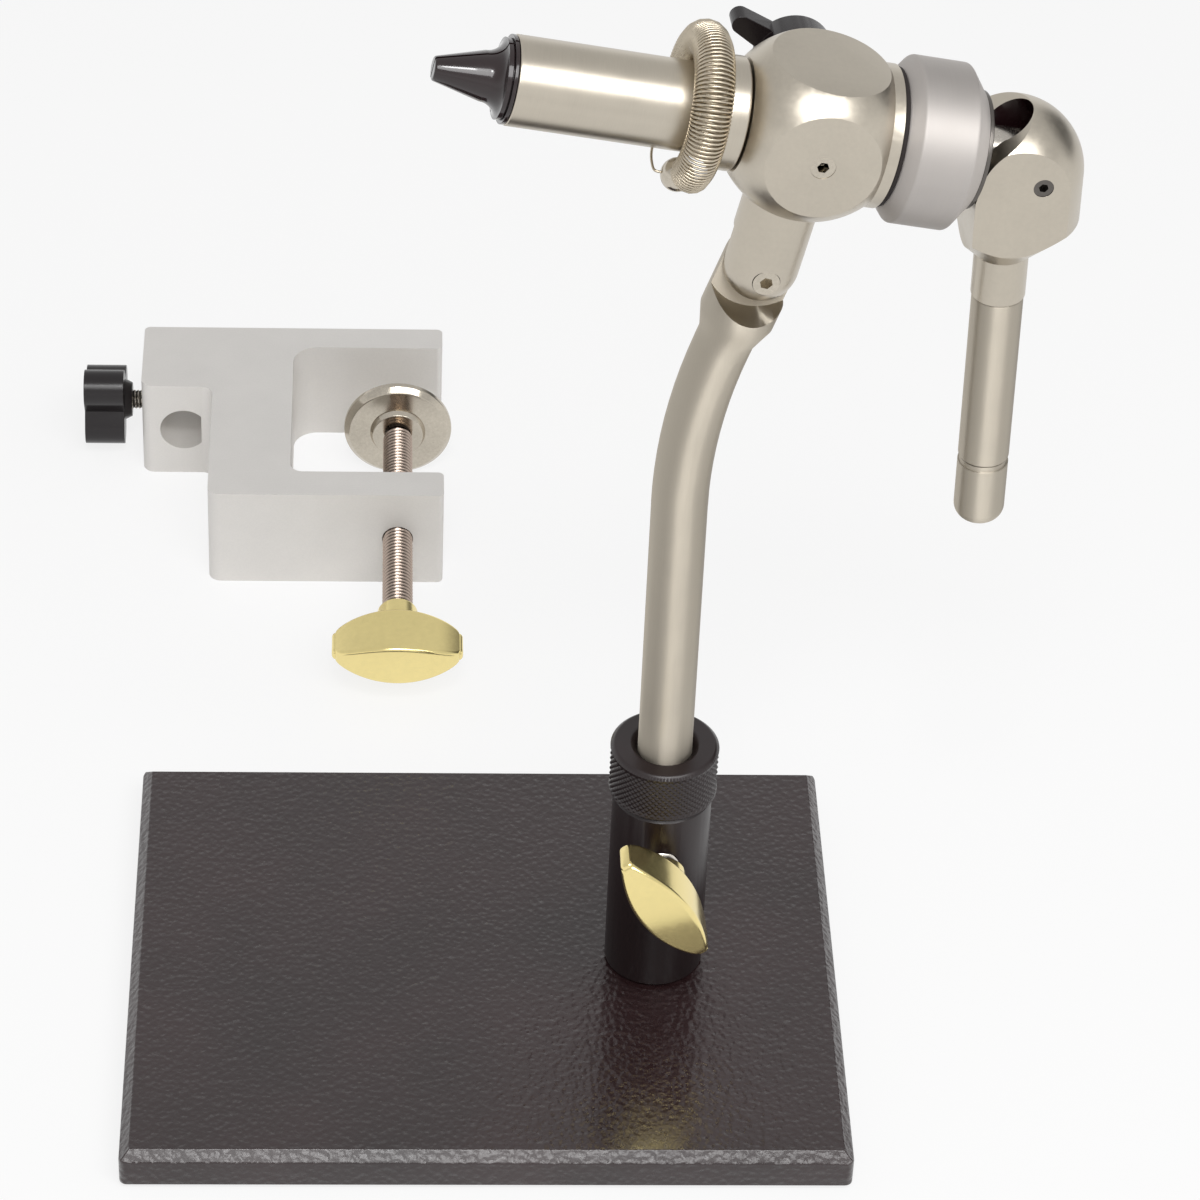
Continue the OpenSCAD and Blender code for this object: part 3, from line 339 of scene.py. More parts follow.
def straight(stations, radius):
    """Outline points of one radius at many stations."""
    return np.stack([stations, np.full_like(stations, radius)], 1)


def stacked(*parts):
    """Points from three coordinates of any matching shapes."""
    return np.stack(np.broadcast_arrays(*parts), -1)


def net(points):
    """Vertices and four-cornered faces of a grid of points whose rows are closed rings."""
    rows, columns = points.shape[:2]
    i = np.arange(rows - 1)[:, None] * columns
    j = np.arange(columns)[None]
    j2 = (j + 1) % columns
    faces = np.stack([i + j, i + j2, i + columns + j2, i + columns + j], -1)
    return points.reshape(-1, 3), faces.reshape(-1, 4)


def lathe(place, outline, steps=128, change=None):
    """Turned surface: each [station, radius] of the outline carried round the first axis.

    change, where given, takes the stations, the angles and the radii as grids and returns
    new radii, for knurls and threads.
    """
    outline = np.asarray(outline, float)
    s, r, angle = np.broadcast_arrays(outline[:, :1], outline[:, 1:],
                                      np.linspace(0, TURN, steps, endpoint=False))
    if change is not None:
        r = change(s, angle, r)
    return net(place.at(stacked(s, r * np.cos(angle), r * np.sin(angle))))


def swept(place, path, radius, sides=8, guide=None):
    """Round wire along a path: a circle square to the path's direction at each point.

    guide is a direction, or one for each point, that the path never runs along. Without it,
    it is the direction in which the path's own directions spread least.
    """
    path = np.asarray(path, float)
    way = np.gradient(path, axis=0)
    way = way / np.linalg.norm(way, axis=1, keepdims=True)
    if guide is None:
        guide = np.linalg.svd(way, full_matrices=False)[2][-1]
    side = np.cross(way, guide)
    side = side / np.linalg.norm(side, axis=1, keepdims=True)
    other = np.cross(way, side)
    a = np.linspace(0, TURN, sides, endpoint=False)[None, :, None]
    ring = path[:, None] + radius * (np.cos(a) * side[:, None] + np.sin(a) * other[:, None])
    ends = [np.repeat(path[k][None, None], sides, 1) for k in (0, -1)]
    return net(place.at(np.concatenate([ends[0], ring, ends[1]])))


def curved(points, steps=8):
    """A smooth line through points: between each two, a cubic whose direction at a point is
    that of the line from the point before it to the point after it."""
    p = np.asarray(points, float)
    p = np.concatenate([2 * p[:1] - p[1:2], p, 2 * p[-1:] - p[-2:-1]])
    t = np.linspace(0, 1, steps, endpoint=False)[None, :, None]
    a, b, c, d = (p[k:len(p) - 3 + k, None] for k in range(4))
    line = 0.5 * (2 * b + (c - a) * t + (2 * a - 5 * b + 4 * c - d) * t ** 2
                  + (3 * b - a - 3 * c + d) * t ** 3)
    return np.concatenate([line.reshape(-1, 3), p[-2:-1]])


def half_lathe(place, outline, cut, side, steps=72):
    """One of two halves of a turned piece, split by a slit through its axis.

    Each ring is the part of the circle past half the slit's width; the straight line between
    its two ends makes the slit's flat wall.
    """
    outline = np.asarray(outline, float)
    s, r = outline[:, :1], np.maximum(outline[:, 1:], cut / 2)
    low = np.arcsin(cut / 2 / r)
    angle = low + (np.pi - 2 * low) * np.linspace(0, 1, steps)
    return net(place.at(stacked(s, side * r * np.sin(angle), r * np.cos(angle))))


def pillow(place, x, half_y, middle_z, half_z, edge, steps=5):
    """Surface of rounded rectangles square to the first axis, one at each x.

    Each rectangle reaches half_y and half_z from its middle. Its corners are quarter circles
    of the edge's radius, with a point just past each end of them so that the flats stay flat.
    """
    past, most = -0.3, 0.75
    a = np.linspace(0, np.pi / 2, steps)
    quarter_y = np.concatenate([[1], np.cos(a), [past]])
    quarter_z = np.concatenate([[past], np.sin(a), [1]])
    sign_y, sign_z = np.repeat([1, -1, -1, 1], steps + 2), np.repeat([1, 1, -1, -1], steps + 2)
    arc_y = np.concatenate([quarter_y, quarter_y[::-1]] * 2)
    arc_z = np.concatenate([quarter_z, quarter_z[::-1]] * 2)
    edge = np.minimum(edge, np.minimum(half_y, half_z) * most)[:, None]
    y = sign_y * (half_y[:, None] - edge + edge * arc_y)
    z = middle_z + sign_z * (half_z[:, None] - edge + edge * arc_z)
    return net(place.at(stacked(x[:, None], y, z)))


# Objects


def welded(mesh, distance, then=None):
    """Joins a mesh's vertices that lie closer than a distance, then does what then says."""
    soft = bmesh.new()
    soft.from_mesh(mesh)
    bmesh.ops.remove_doubles(soft, verts=soft.verts, dist=distance)
    if then:
        then(soft)
    soft.to_mesh(mesh)
    soft.free()


def face_out(soft):
    """Turns all faces outward."""
    bmesh.ops.recalc_face_normals(soft, faces=soft.faces)


def merge_flats(soft):
    """Makes one face of neighbours that lie in one plane, to within 0.4 degrees."""
    bmesh.ops.dissolve_limit(soft, angle_limit=np.radians(0.4), verts=soft.verts,
                             edges=soft.edges)


def show(name, node, mesh, body, finish, smooth):
    """Puts a mesh on a body in a node's stead, smooth but for edges past an angle."""
    mesh.materials.append(FINISH[finish])
    mesh.shade_smooth()
    mesh.set_sharp_from_angle(angle=np.radians(smooth))
    obj = bpy.data.objects.new(name, mesh)
    bpy.context.scene.collection.objects.link(obj)
    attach(obj, body)
    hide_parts(node)
    return obj


def add_piece(name, node, surfaces, body, finish, smooth=38):
    """One object of some surfaces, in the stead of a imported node."""
    places, faces, start = [], [], 0
    for points, quads in surfaces:
        places.append(points)
        faces.append(quads + start)
        start += len(points)
    places, faces = np.concatenate(places), np.concatenate(faces)
    mesh = bpy.data.meshes.new(name)
    mesh.vertices.add(len(places))
    mesh.vertices.foreach_set("co", places.ravel())
    mesh.loops.add(faces.size)
    mesh.loops.foreach_set("vertex_index", faces.ravel())
    mesh.polygons.add(len(faces))
    mesh.polygons.foreach_set("loop_start", np.arange(0, faces.size, 4))
    mesh.update(calc_edges=True)
    welded(mesh, SAME, face_out)
    return show(name, node, mesh, body, finish, smooth)


def copy_node(name, node, body, finish, slot, edge, mesh=None):
    """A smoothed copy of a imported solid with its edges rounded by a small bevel."""
    smooth = 30
    mesh = mesh or frame["nodes"][node].data.copy()
    mesh.name = name
    welded(mesh, SAME_PACKED, merge_flats)
    mesh.materials.clear()
    obj = show(name, node, mesh, body, finish, smooth)
    bevel = obj.modifiers.new("Edges", "BEVEL")
    bevel.width = edge * MM
    bevel.segments = 3
    bevel.limit_method = "ANGLE"
    bevel.angle_limit = np.radians(smooth)
    bevel.harden_normals = True
    return obj


def joined(whole, part, way, reach):
    """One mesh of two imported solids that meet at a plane.

    The part's end face is carried into the whole by a small reach along the way, and the two
    are united.
    """
    made = []
    for node in (whole, part):
        mesh = frame["nodes"][node].data.copy()
        if node == part:
            points = vertices(node)
            along = points @ way
            points[along > along.max() - reach * MM] += np.array(way) * reach * MM
            mesh.vertices.foreach_set("co", points.ravel())
        welded(mesh, SAME_PACKED)
        made.append(bpy.data.objects.new(node + "_half", mesh))
        bpy.context.scene.collection.objects.link(made[-1])
    union = made[0].modifiers.new("Union", "BOOLEAN")
    union.operation = "UNION"
    union.solver = "EXACT"
    union.object = made[1]
    bpy.context.view_layer.update()
    result = bpy.data.meshes.new_from_object(
        made[0].evaluated_get(bpy.context.evaluated_depsgraph_get()))
    for obj in made:
        bpy.data.objects.remove(obj)
    return result


def turned(name, node, body, finish, edge, outline):
    """A piece turned on the head's axis, with its outline's corners rounded."""
    add_piece(name, node, [lathe(HEAD, rounded(outline, edge))], body, finish)


# Materials

FINISH = {}


def add(tree, kind, settings=None, **inputs):
    """Adds a shader node, sets its settings, and sets or links its inputs by name.

    Inputs that share a name or have none are given by their place: i0 is the first.
    """
    node = tree.nodes.new("ShaderNode" + kind)
    for key, value in (settings or {}).items():
        setattr(node, key, value)
    for key, value in inputs.items():
        name = key.replace("_", " ")
        socket = node.inputs[int(name[1:])] if name[1:].isdigit() else node.inputs[name]
        if isinstance(value, bpy.types.NodeSocket):
            tree.links.new(value, socket)
        else:
            socket.default_value = value
    return node


def maths(tree, operation, *values, kind="Math", out=0):
    """Output of a maths node over two or three sockets or numbers."""
    inputs = {f"i{k}": value for k, value in enumerate(values)}
    return add(tree, kind, {"operation": operation}, **inputs).outputs[out]


def mean(tree, a, b):
    """Half of each of two patterns."""
    return add(tree, "Mix", {"data_type": "FLOAT"}, Factor=0.5, A=a, B=b).outputs[0]


def per(millimetres):
    """Texture scale of a pattern whose features are so many millimetres across."""
    return 1 / (millimetres * MM)


def noise(tree, coords, millimetres, detail, rough=0.5):
    """A cloudy pattern whose features are so many millimetres across."""
    return add(tree, "TexNoise", Vector=coords, Scale=per(millimetres), Detail=detail,
               Roughness=rough).outputs["Fac"]


def tone(tree, base, pattern, dark=0.86, light=1.08):
    """A colour between a darker and a lighter form of one colour, by a pattern."""
    ramp = add(tree, "ValToRGB", Fac=pattern)
    for element, factor, place in zip(ramp.color_ramp.elements, (dark, light),
                                    (NOISE_LOW, NOISE_HIGH)):
        element.color = (*np.clip(np.array(base[:3]) * factor, 0, 1), 1)
        element.position = place
    return ramp.outputs["Color"]


def gloss(tree, pattern, rough):
    """Roughness between two values, by a pattern."""
    return add(tree, "MapRange", Value=pattern, i1=NOISE_LOW, i2=NOISE_HIGH, i3=rough[0],
               i4=rough[1]).outputs[0]


def shaded(name):
    """A new finish's empty tree."""
    material = bpy.data.materials.new(name)
    material.use_nodes = True
    material.node_tree.nodes.clear()
    FINISH[name] = material
    return material.node_tree


def place_in(tree, kind="Object"):
    """The coordinates that a pattern is laid out in."""
    return add(tree, "TexCoord").outputs[kind]


def close(tree, height, depth, strength, **values):
    """Ends a finish: its values on the shader, over a height so many millimetres deep."""
    bump = add(tree, "Bump", Strength=strength, Distance=depth * MM, Height=height)
    shader = add(tree, "BsdfPrincipled", Normal=bump.outputs[0], **values)
    add(tree, "OutputMaterial", Surface=shader.outputs["BSDF"])


def brushed(name, base, place, along, fine, rough, bump, spread=0.0, vary=(0.93, 1.04)):
    """Metal with hair lines: noise stretched along one direction of a place.

    along holds the feature sizes in millimetres on the place's three axes. spread draws the
    highlights out along the first axis, as lines that run round the piece do.
    """
    tree = shaded(name)
    coords = place_in(tree)
    turn = Matrix([list(place.x), list(place.y), list(place.z)]).to_euler("XYZ")
    local = add(tree, "Mapping", Vector=coords, Rotation=turn)
    lines = add(tree, "Mapping", Vector=local.outputs[0], Scale=[per(a) for a in along])
    hair = add(tree, "TexNoise", Vector=lines.outputs[0], Scale=1.0, Detail=3.0,
               Roughness=0.6).outputs["Fac"]
    cloud = noise(tree, coords, 7.0, 4.0, 0.55)
    grit = noise(tree, coords, fine, 2.0)
    extra = {}
    if spread:
        axis = add(tree, "CombineXYZ", X=place.x[0], Y=place.x[1], Z=place.x[2])
        extra = {"Anisotropic": spread, "Tangent": axis.outputs[0]}
    close(tree, maths(tree, "MULTIPLY_ADD", grit, 0.5, hair), bump, 0.5, Metallic=1.0,
          Base_Color=tone(tree, base, mean(tree, hair, cloud), *vary),
          Roughness=maths(tree, "MULTIPLY_ADD", cloud, 0.1, gloss(tree, hair, rough)), **extra)


def plain(name, base, rough, grain, bump, vary=(0.85, 1.12), **values):
    """A finish of one colour with a fine grain in its height, its colour and its gloss."""
    tree = shaded(name)
    coords = place_in(tree)
    fine = noise(tree, coords, grain, 3.0, 0.6)
    blend = mean(tree, fine, noise(tree, coords, 9.0, 3.0))
    close(tree, fine, bump, 0.6, Base_Color=tone(tree, base, blend, *vary),
          Roughness=gloss(tree, blend, rough), **values)


def hammered_paint(name, base):
    """Baked hammer paint: a dark glossy skin in low, soft pebbles about 1.1 mm across.

    A slow noise carries the pebbles 0.6 mm aside, so that they lie in no rows.
    """
    tree = shaded(name)
    coords = place_in(tree)
    wander = add(tree, "TexNoise", Vector=coords, Scale=per(1.6), Detail=2.0)
    warp = add(tree, "Mix", {"data_type": "VECTOR"}, Factor=0.6 * MM, i4=coords,
               i5=wander.outputs["Color"])
    pebbles = add(tree, "TexVoronoi", {"feature": "SMOOTH_F1"}, Vector=warp.outputs[1],
                  Scale=per(1.1), Smoothness=0.7)
    waves = noise(tree, coords, 1.5, 3.0, 0.55)
    height = maths(tree, "MULTIPLY_ADD", waves, 0.9, pebbles.outputs["Distance"])
    close(tree, height, 0.26, 1.0, Roughness=gloss(tree, waves, (0.24, 0.36)),
          Base_Color=tone(tree, base, noise(tree, coords, 28.0, 2.0), 0.75, 1.3),
          Coat_Weight=0.6, Coat_Roughness=0.14)


def thread_with_painted_shade(name, base, place, radius, depth):
    """Rolled steel thread: roots painted dark as painted shade, and crests painted light.

    The tone follows the distance from the screw's axis, which is the length of the cross
    product of the point and the axis.
    """
    tree = shaded(name)
    coords = place_in(tree)
    arm = maths(tree, "SUBTRACT", coords, place.origin.tolist(), kind="VectorMath")
    across = maths(tree, "CROSS_PRODUCT", arm, place.x.tolist(), kind="VectorMath")
    away = maths(tree, "LENGTH", across, kind="VectorMath", out=1)
    painted_root_shade = add(tree, "MapRange", Value=away, i1=(radius - depth) * MM, i2=radius * MM)
    grain = noise(tree, coords, 0.4, 2.0)
    # Painted shade in the thread's roots and painted light on its crests
    close(tree, grain, 0.004, 0.5, Base_Color=tone(tree, base, painted_root_shade.outputs[0], 0.12, 1.3),
          Roughness=gloss(tree, grain, (0.2, 0.32)), Metallic=1.0)


def make_finishes(c):
    """All finishes, each named for its metal or plastic and how it was made.

    A brushed finish gives its place, its lines' sizes, its grain, its roughness and its
    depth, and a plain one its roughness, its grain and its depth, all but the roughness in
    millimetres. vary is how far the colour drifts to dark and to light. Real hair lines and
    grains are finer; they are drawn as coarse as they need to be to show at this distance.
    """
    # Satin nickel over ground steel: soft highlights, drawn out by hair lines round turned
    # pieces and along stem and rods
    brushed("satin_nickel_turned", c.nickel, HEAD, (0.12, 3.0, 3.0), 0.2, (0.24, 0.28), 0.0015)
    brushed("satin_nickel_ball", c.nickel, HEAD, (0.8, 0.8, 0.8), 0.15, (0.25, 0.32), 0.003)
    brushed("satin_nickel_stem", c.nickel, POST, (6.0, 0.25, 0.25), 0.2, (0.46, 0.52), 0.002,
            spread=0.92)
    brushed("satin_nickel_rod", c.nickel, HANDLE, (6.0, 0.3, 0.3), 0.2, (0.44, 0.5), 0.002,
            spread=0.92)
    # Polished nickel: smooth enough to show the lamps as small bright spots
    plain("polished_nickel", c.nickel, (0.12, 0.2), 0.5, 0.002, Metallic=1.0)
    # Lathe-turned aluminium: a pale sheen spread wide by the fine rings that the tool left
    brushed("turned_aluminium", c.aluminium, HEAD, (0.16, 14.0, 14.0), 0.25, (0.58, 0.64), 0.006,
            spread=0.5)
    # Bead-blasted cast aluminium: even, pale and dull, with a sandy grain
    plain("blasted_aluminium", c.casting, (0.5, 0.62), 0.35, 0.03, vary=(0.95, 1.03),
          Metallic=0.3)
    # Bright drawn steel: clean highlights, a little broken
    plain("bright_steel", c.bright, (0.2, 0.32), 0.5, 0.004, Metallic=1.0)
    # Oiled steel: the same metal, darker and softer
    plain("oiled_steel", c.dark_steel, (0.28, 0.4), 0.5, 0.006, Metallic=1.0)
    # Polished brass: nearly a mirror, with faint wide waves left by the buffing wheel
    plain("polished_brass", c.brass, (0.14, 0.24), 1.2, 0.003, vary=(0.95, 1.05), Metallic=1.0)
    # Drawn spring wire: a fine bright line along each curl
    plain("drawn_spring_wire", c.wire, (0.24, 0.34), 0.4, 0.002, Metallic=1.0)
    # Hammered paint: dark gloss that breaks the light into many small sparks
    hammered_paint("hammered_paint", c.paint)
    # Blackened steel: nearly black, satin, its turned grain just visible
    plain("blackened_steel", c.black, (0.3, 0.42), 0.4, 0.006, Coat_Weight=0.1,
          Coat_Roughness=0.3)
    # Hard black oxide on polished steel: glossy brown-black with sharp reflections
    plain("polished_black_oxide", c.oxide, (0.2, 0.28), 0.6, 0.002, Coat_Weight=0.8,
          Coat_Roughness=0.05, IOR=1.35)
    # Moulded nylon: black, with a soft gloss and a faint mould grain
    plain("moulded_black_nylon", c.plastic, (0.2, 0.3), 0.25, 0.006)
    # Rubber: dull and dark, it hardly reflects
    plain("black_rubber", c.rubber, (0.7, 0.85), 0.4, 0.02)
    # Unfilled nylon: milky white and half dull
    plain("white_nylon", c.nylon, (0.45, 0.55), 0.5, 0.004)
    # Bearing bronze: warm brown metal, finely porous
    plain("bearing_bronze", c.bronze, (0.3, 0.42), 0.3, 0.006, Metallic=1.0)


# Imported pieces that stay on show, by finish
STAY = {
    "black_rubber": ("base_sheet",),
    "oiled_steel": ("base_bolt", "side_set_screw", "collar_set_screw", "lock_stud", "cam_pin"),
    "polished_nickel": ("detent_screw", "tilt_screw"),
    "bright_steel": ("draw_rod", "detent_spring", "detent_ball", "return_spring"),
    "bearing_bronze": ("front_bushing", "rear_bushing"),
    "white_nylon": ("brake_plug",),
}

# Operators


class VISE_OT_finishes(bpy.types.Operator):
    """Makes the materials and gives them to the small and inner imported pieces"""

    bl_idname = "vise.finishes"
    bl_label = "Finishes"

    def execute(self, context):
        make_finishes(context.scene.vise_finishes)
        for finish, nodes in STAY.items():
            for node in nodes:
                mesh = frame["nodes"][node].data
                mesh.materials.clear()
                mesh.materials.append(FINISH[finish])
        return {"FINISHED"}


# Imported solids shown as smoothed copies: name, node, body, finish, slot and rounding
COPIES = (
    ("painted_plate", "base_plate", "base", "hammered_paint", "base_hammer_paint", "plate_edge"),
    ("black_post", "socket_post", "base", "blackened_steel", "black_steel", "edge"),
    ("bent_stem", "stem", "stem", "satin_nickel_stem", "satin_nickel", "edge"),
    ("knuckle_tongue", "head_tongue", "head", "satin_nickel_ball", "satin_nickel", "edge"),
    ("flatted_ball", "head_ball", "head", "satin_nickel_ball", "satin_nickel", "edge"),
    ("black_lock_lever", "lock_lever", "lock_lever", "moulded_black_nylon", "black_lever",
     "lock_edge"),
    ("lobed_knob", "clamp_lock_knob", "clamp_lock_screw", "moulded_black_nylon", "black_lever",
     "cast_edge"),
    ("round_pad", "clamp_pad", "clamp_pad", "polished_nickel", "clamp_aluminium", "fine_edge"),
    ("pad_ring", "pad_washer", "clamp_screw", "polished_nickel", "clamp_aluminium", "ring_edge"),
)


class VISE_OT_copies(bpy.types.Operator):
    """Base, post, stem, ball, black lever and knob, and the clamp's casting and pad"""

    bl_idname = "vise.copies"
    bl_label = "Plain bodies"

    def execute(self, context):
        p = sizes(context.scene.vise_body)
        for *piece, edge in COPIES:
            copy_node(*piece, getattr(p, edge))
        casting = copy_node("clamp_casting", "clamp_frame", "bench_clamp", "blasted_aluminium",
                            "clamp_aluminium", p.cast_edge,
                            joined("clamp_frame", "clamp_block", RIGHT, reach=0.1))
        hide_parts("clamp_block")
        return {"FINISHED"}


def diamonds(low, high, p, radius):
    """Radii of a diamond knurl: two crossed sets of ridges, the lower of the two waves kept.

    Each wave is a triangle wave along one slanted direction; the ridges fade out over the
    plain bands at the ends.
    """
    ridges = round(TURN * radius / p.knurl_pitch)

    def change(s, angle, r):
        way = s / radius
        one = np.abs(((ridges * (angle + way)) / TURN) % 1 - 0.5) * 2
        two = np.abs(((ridges * (angle - way)) / TURN) % 1 - 0.5) * 2
        fade = np.clip(np.minimum(s - low, high - s) / p.knurl_band, 0, 1)
        outer = r > radius - p.knurl_depth
        return r - np.where(outer, p.knurl_depth * fade * (1 - np.minimum(one, two)), 0)

    return change


class VISE_OT_collar(bpy.types.Operator):
    """Black height collar with its diamond knurl and cone"""

    bl_idname = "vise.collar"
    bl_label = "Height collar"

    def execute(self, context):
        p = sizes(context.scene.vise_body)
        rows, steps = 64, 480
        low, high, radius = POST.extent("height_collar")
        points = POST.measure("height_collar")
        radii = np.hypot(points[:, 1], points[:, 2])
        bore = float(radii.min())
        mouth = float(radii[points[:, 0] > high - HAIR].min())
        cone_low = high - mouth + bore
        first, last = low + p.chamfer, high - p.chamfer
        outline = np.concatenate([
            rounded([[cone_low, bore], [low, bore], [low, radius - p.chamfer],
                     [first, radius]], p.edge)[:-1],
            straight(np.linspace(first, last, rows), radius),
            rounded([[last, radius], [high, radius - p.chamfer], [high, mouth],
                     [cone_low, bore]], p.edge)[1:],
        ])
        add_piece("knurled_collar", "height_collar",
                  [lathe(POST, outline, steps, diamonds(first, last, p, radius))],
                  "stem_collar", "blackened_steel", smooth=60)
        return {"FINISHED"}


class VISE_OT_sleeve(bpy.types.Operator):
    """Jaw sleeve and spring hub, turned"""

    bl_idname = "vise.sleeve"
    bl_label = "Jaw sleeve"

    def execute(self, context):
        p = sizes(context.scene.vise_head)
        tail, front, r = HEAD.extent("jaw_sleeve")
        hub_low, hub_high, hub_r = HEAD.extent("spring_hub")
        spindle = HEAD.reach("jaw_sleeve", high=tail + 1)
        web_high = hub_low - p.web_gap
        web_low = web_high - p.web_l
        turned("turned_sleeve", "jaw_sleeve", "spindle", "satin_nickel_turned",
               p.edge, [[tail, p.bore], [tail, spindle], [hub_low, spindle], [hub_low, r],
                        [front, r], [front, p.seat], [front - p.seat_l, p.bore],
                        [web_high, p.bore], [web_high, p.web_bore], [web_low, p.web_bore],
                        [web_low, p.bore], [tail, p.bore]])
        turned("turned_hub", "spring_hub", "spindle", "satin_nickel_turned",
               p.hub_edge, [[hub_low, r], [hub_low, hub_r], [hub_high, hub_r], [hub_high, r]])
        return {"FINISHED"}


# The hook's points: forward by shares of the curl, outward and round by shares of the way
# from the last curl to the catch
HOOK = np.array([[0.18, 0.02, 0.05], [0.42, 0.04, 0.17], [0.62, 0.07, 0.35], [0.74, 0.13, 0.56],
                 [0.8, 0.35, 0.74], [0.8, 0.68, 0.88], [0.76, 0.95, 0.98]])


def round_axis(s, r, a):
    """Head points at a station, a radius and an angle that starts below, toward the viewer."""
    return stacked(s, r * np.sin(a), -r * np.cos(a))


class VISE_OT_spring(bpy.types.Operator):
    """Spring ring of one coiled wire that hooks back to its round catch"""

    bl_idname = "vise.spring"
    bl_label = "Spring ring"

    def execute(self, context):
        p = sizes(context.scene.vise_head)
        points = HEAD.measure("clip_catch")
        catch = (points.min(0) + points.max(0)) / 2
        catch_r = float(np.ptp(points[:, 0])) / 2
        self.ring(p, catch, catch_r, np.arctan2(catch[1], -catch[2]))
        t = np.linspace(0, np.pi, 33)
        ball = np.stack([-catch_r * np.cos(t), catch_r * np.sin(t)], 1)
        add_piece("round_catch", "clip_catch", [lathe(HEAD.moved(*catch), ball, 64)], "spindle",
                  "polished_nickel")
        return {"FINISHED"}

    def ring(self, p, catch, catch_r, turn):
        """One wire: from the catch it curls round the sleeve, then hooks back to the catch.

        A curl is a circle of points square to the ring, carried round it from just past the
        catch to the ring's end. It starts at a curl's front, and the last curl stops next to
        the sleeve, three quarters of a turn on. The first curl's wire keeps apart from the
        catch by a few wires' widths, and the hook's end sinks into the catch.
        """
        each, apart, sunk = 16, 1.5, 0.9
        curl_r = (p.curl - p.wire) / 2
        ring_r = HEAD.reach("jaw_sleeve") + p.ring_gap + p.curl / 2
        middle = HEAD.span("spring_hub")[1] + p.hub_gap + p.curl / 2
        free = catch_r + apart * p.wire
        start = turn + np.arcsin(np.sqrt(free ** 2 - (curl_r - catch[0] + middle) ** 2) / ring_r)
        last = p.curls * each + each * 3 // 4
        part = np.linspace(0, 1, last + 1)
        c = part * last / each * TURN - TURN / 4
        a = start + (p.ring_end - start) * part
        curls = round_axis(middle - curl_r * np.sin(c), ring_r + curl_r * np.cos(c), a)
        along = stacked(0.0, np.cos(a), np.sin(a))
        forward, outward, onward = HOOK.T
        hook = round_axis(middle + forward * p.curl, ring_r - curl_r * (1 - outward),
                          p.ring_end + onward * (TURN + turn - p.ring_end))
        hook = curved(np.concatenate([curls[-1:], hook, [catch + [catch_r * sunk, 0, 0]]]))
        stub = np.linspace(0, 1, 6)[:, None] * (curls[0] - catch) + catch
        add_piece("coiled_ring", "clip_spring",
                  [swept(HEAD, stub, p.wire / 2), swept(HEAD, curls, p.wire / 2, guide=along),
                   swept(HEAD, hook, p.wire / 2)],
                  "spindle", "drawn_spring_wire", smooth=80)


class VISE_OT_drum(bpy.types.Operator):
    """Adjusting drum, seal and thrust washer"""

    bl_idname = "vise.drum"
    bl_label = "Adjusting drum"

    def execute(self, context):
        p = sizes(context.scene.vise_head)
        rear, front, r = HEAD.extent("adjusting_drum")
        front_r = HEAD.reach("adjusting_drum", low=front - HAIR)
        rear_r = HEAD.reach("adjusting_drum", high=rear + HAIR)
        floor = rear + p.drum_floor
        turned("turned_drum", "adjusting_drum", "drum", "turned_aluminium",
               p.edge, [[rear, p.drum_tail], [rear, rear_r], [rear + p.rear_bevel, r],
                        [front - p.front_bevel, r], [front, front_r], [front, p.drum_bore],
                        [floor, p.drum_bore], [floor, p.drum_tail], [rear, p.drum_tail]])
        low, high, r = HEAD.extent("drum_seal")
        turned("rubber_seal", "drum_seal", "drum", "black_rubber", p.edge,
               [[low, r - p.seal_w], [low, r], [high, r], [high, r - p.seal_w]])
        low, high, r = HEAD.extent("thrust_washer")
        turned("black_washer", "thrust_washer", "drum", "oiled_steel",
               p.thin_edge, [[low, p.washer_bore], [low, r], [high, r], [high, p.washer_bore],
                             [low, p.washer_bore]])
        return {"FINISHED"}


class VISE_OT_collet(bpy.types.Operator):
    """Black collet: two jaws from one turned piece, with flange, rim, flare and cone"""

    bl_idname = "vise.collet"
    bl_label = "Collet jaws"

    def execute(self, context):
        p = sizes(context.scene.vise_head)
        back, tip, flange_r = HEAD.extent("collet")
        slit = back + p.shank_l
        flange = HEAD.span("jaw_sleeve")[1] + p.flange_gap
        rim = flange + p.flange_l
        relief, lip = rim - p.relief, p.rim - p.rim_edge
        flare = rim + p.rim_l
        a = np.linspace(0, np.pi / 2, 14)
        curve = np.stack([flare + p.flare_l * (1 - np.cos(a)),
                          p.rim - (p.rim - p.root) * np.sin(a)], 1)
        rear = rounded([[slit, 0], [slit, p.shank], [back, p.shank], [back, 0]], p.edge)
        jaw = np.concatenate([
            rounded([[slit, 0], [slit, p.shank], [flange - p.seat_l, p.shank],
                     [flange, p.jaw_seat], [flange, flange_r], [relief, flange_r], [relief, lip],
                     [rim, lip], [rim, p.rim]], p.jaw_edge)[:-1],
            rounded([[rim, lip], [rim, p.rim], curve[0]], p.rim_edge)[1:-1],
            curve,
            rounded([curve[-1], [tip, p.tip], [tip, 0]], p.edge)[1:],
        ])
        add_piece("slit_collet", "collet",
                  [lathe(HEAD, rear), half_lathe(HEAD, jaw, p.slit, 1),
                   half_lathe(HEAD, jaw, p.slit, -1)],
                  "collet", "polished_black_oxide", smooth=34)
        return {"FINISHED"}


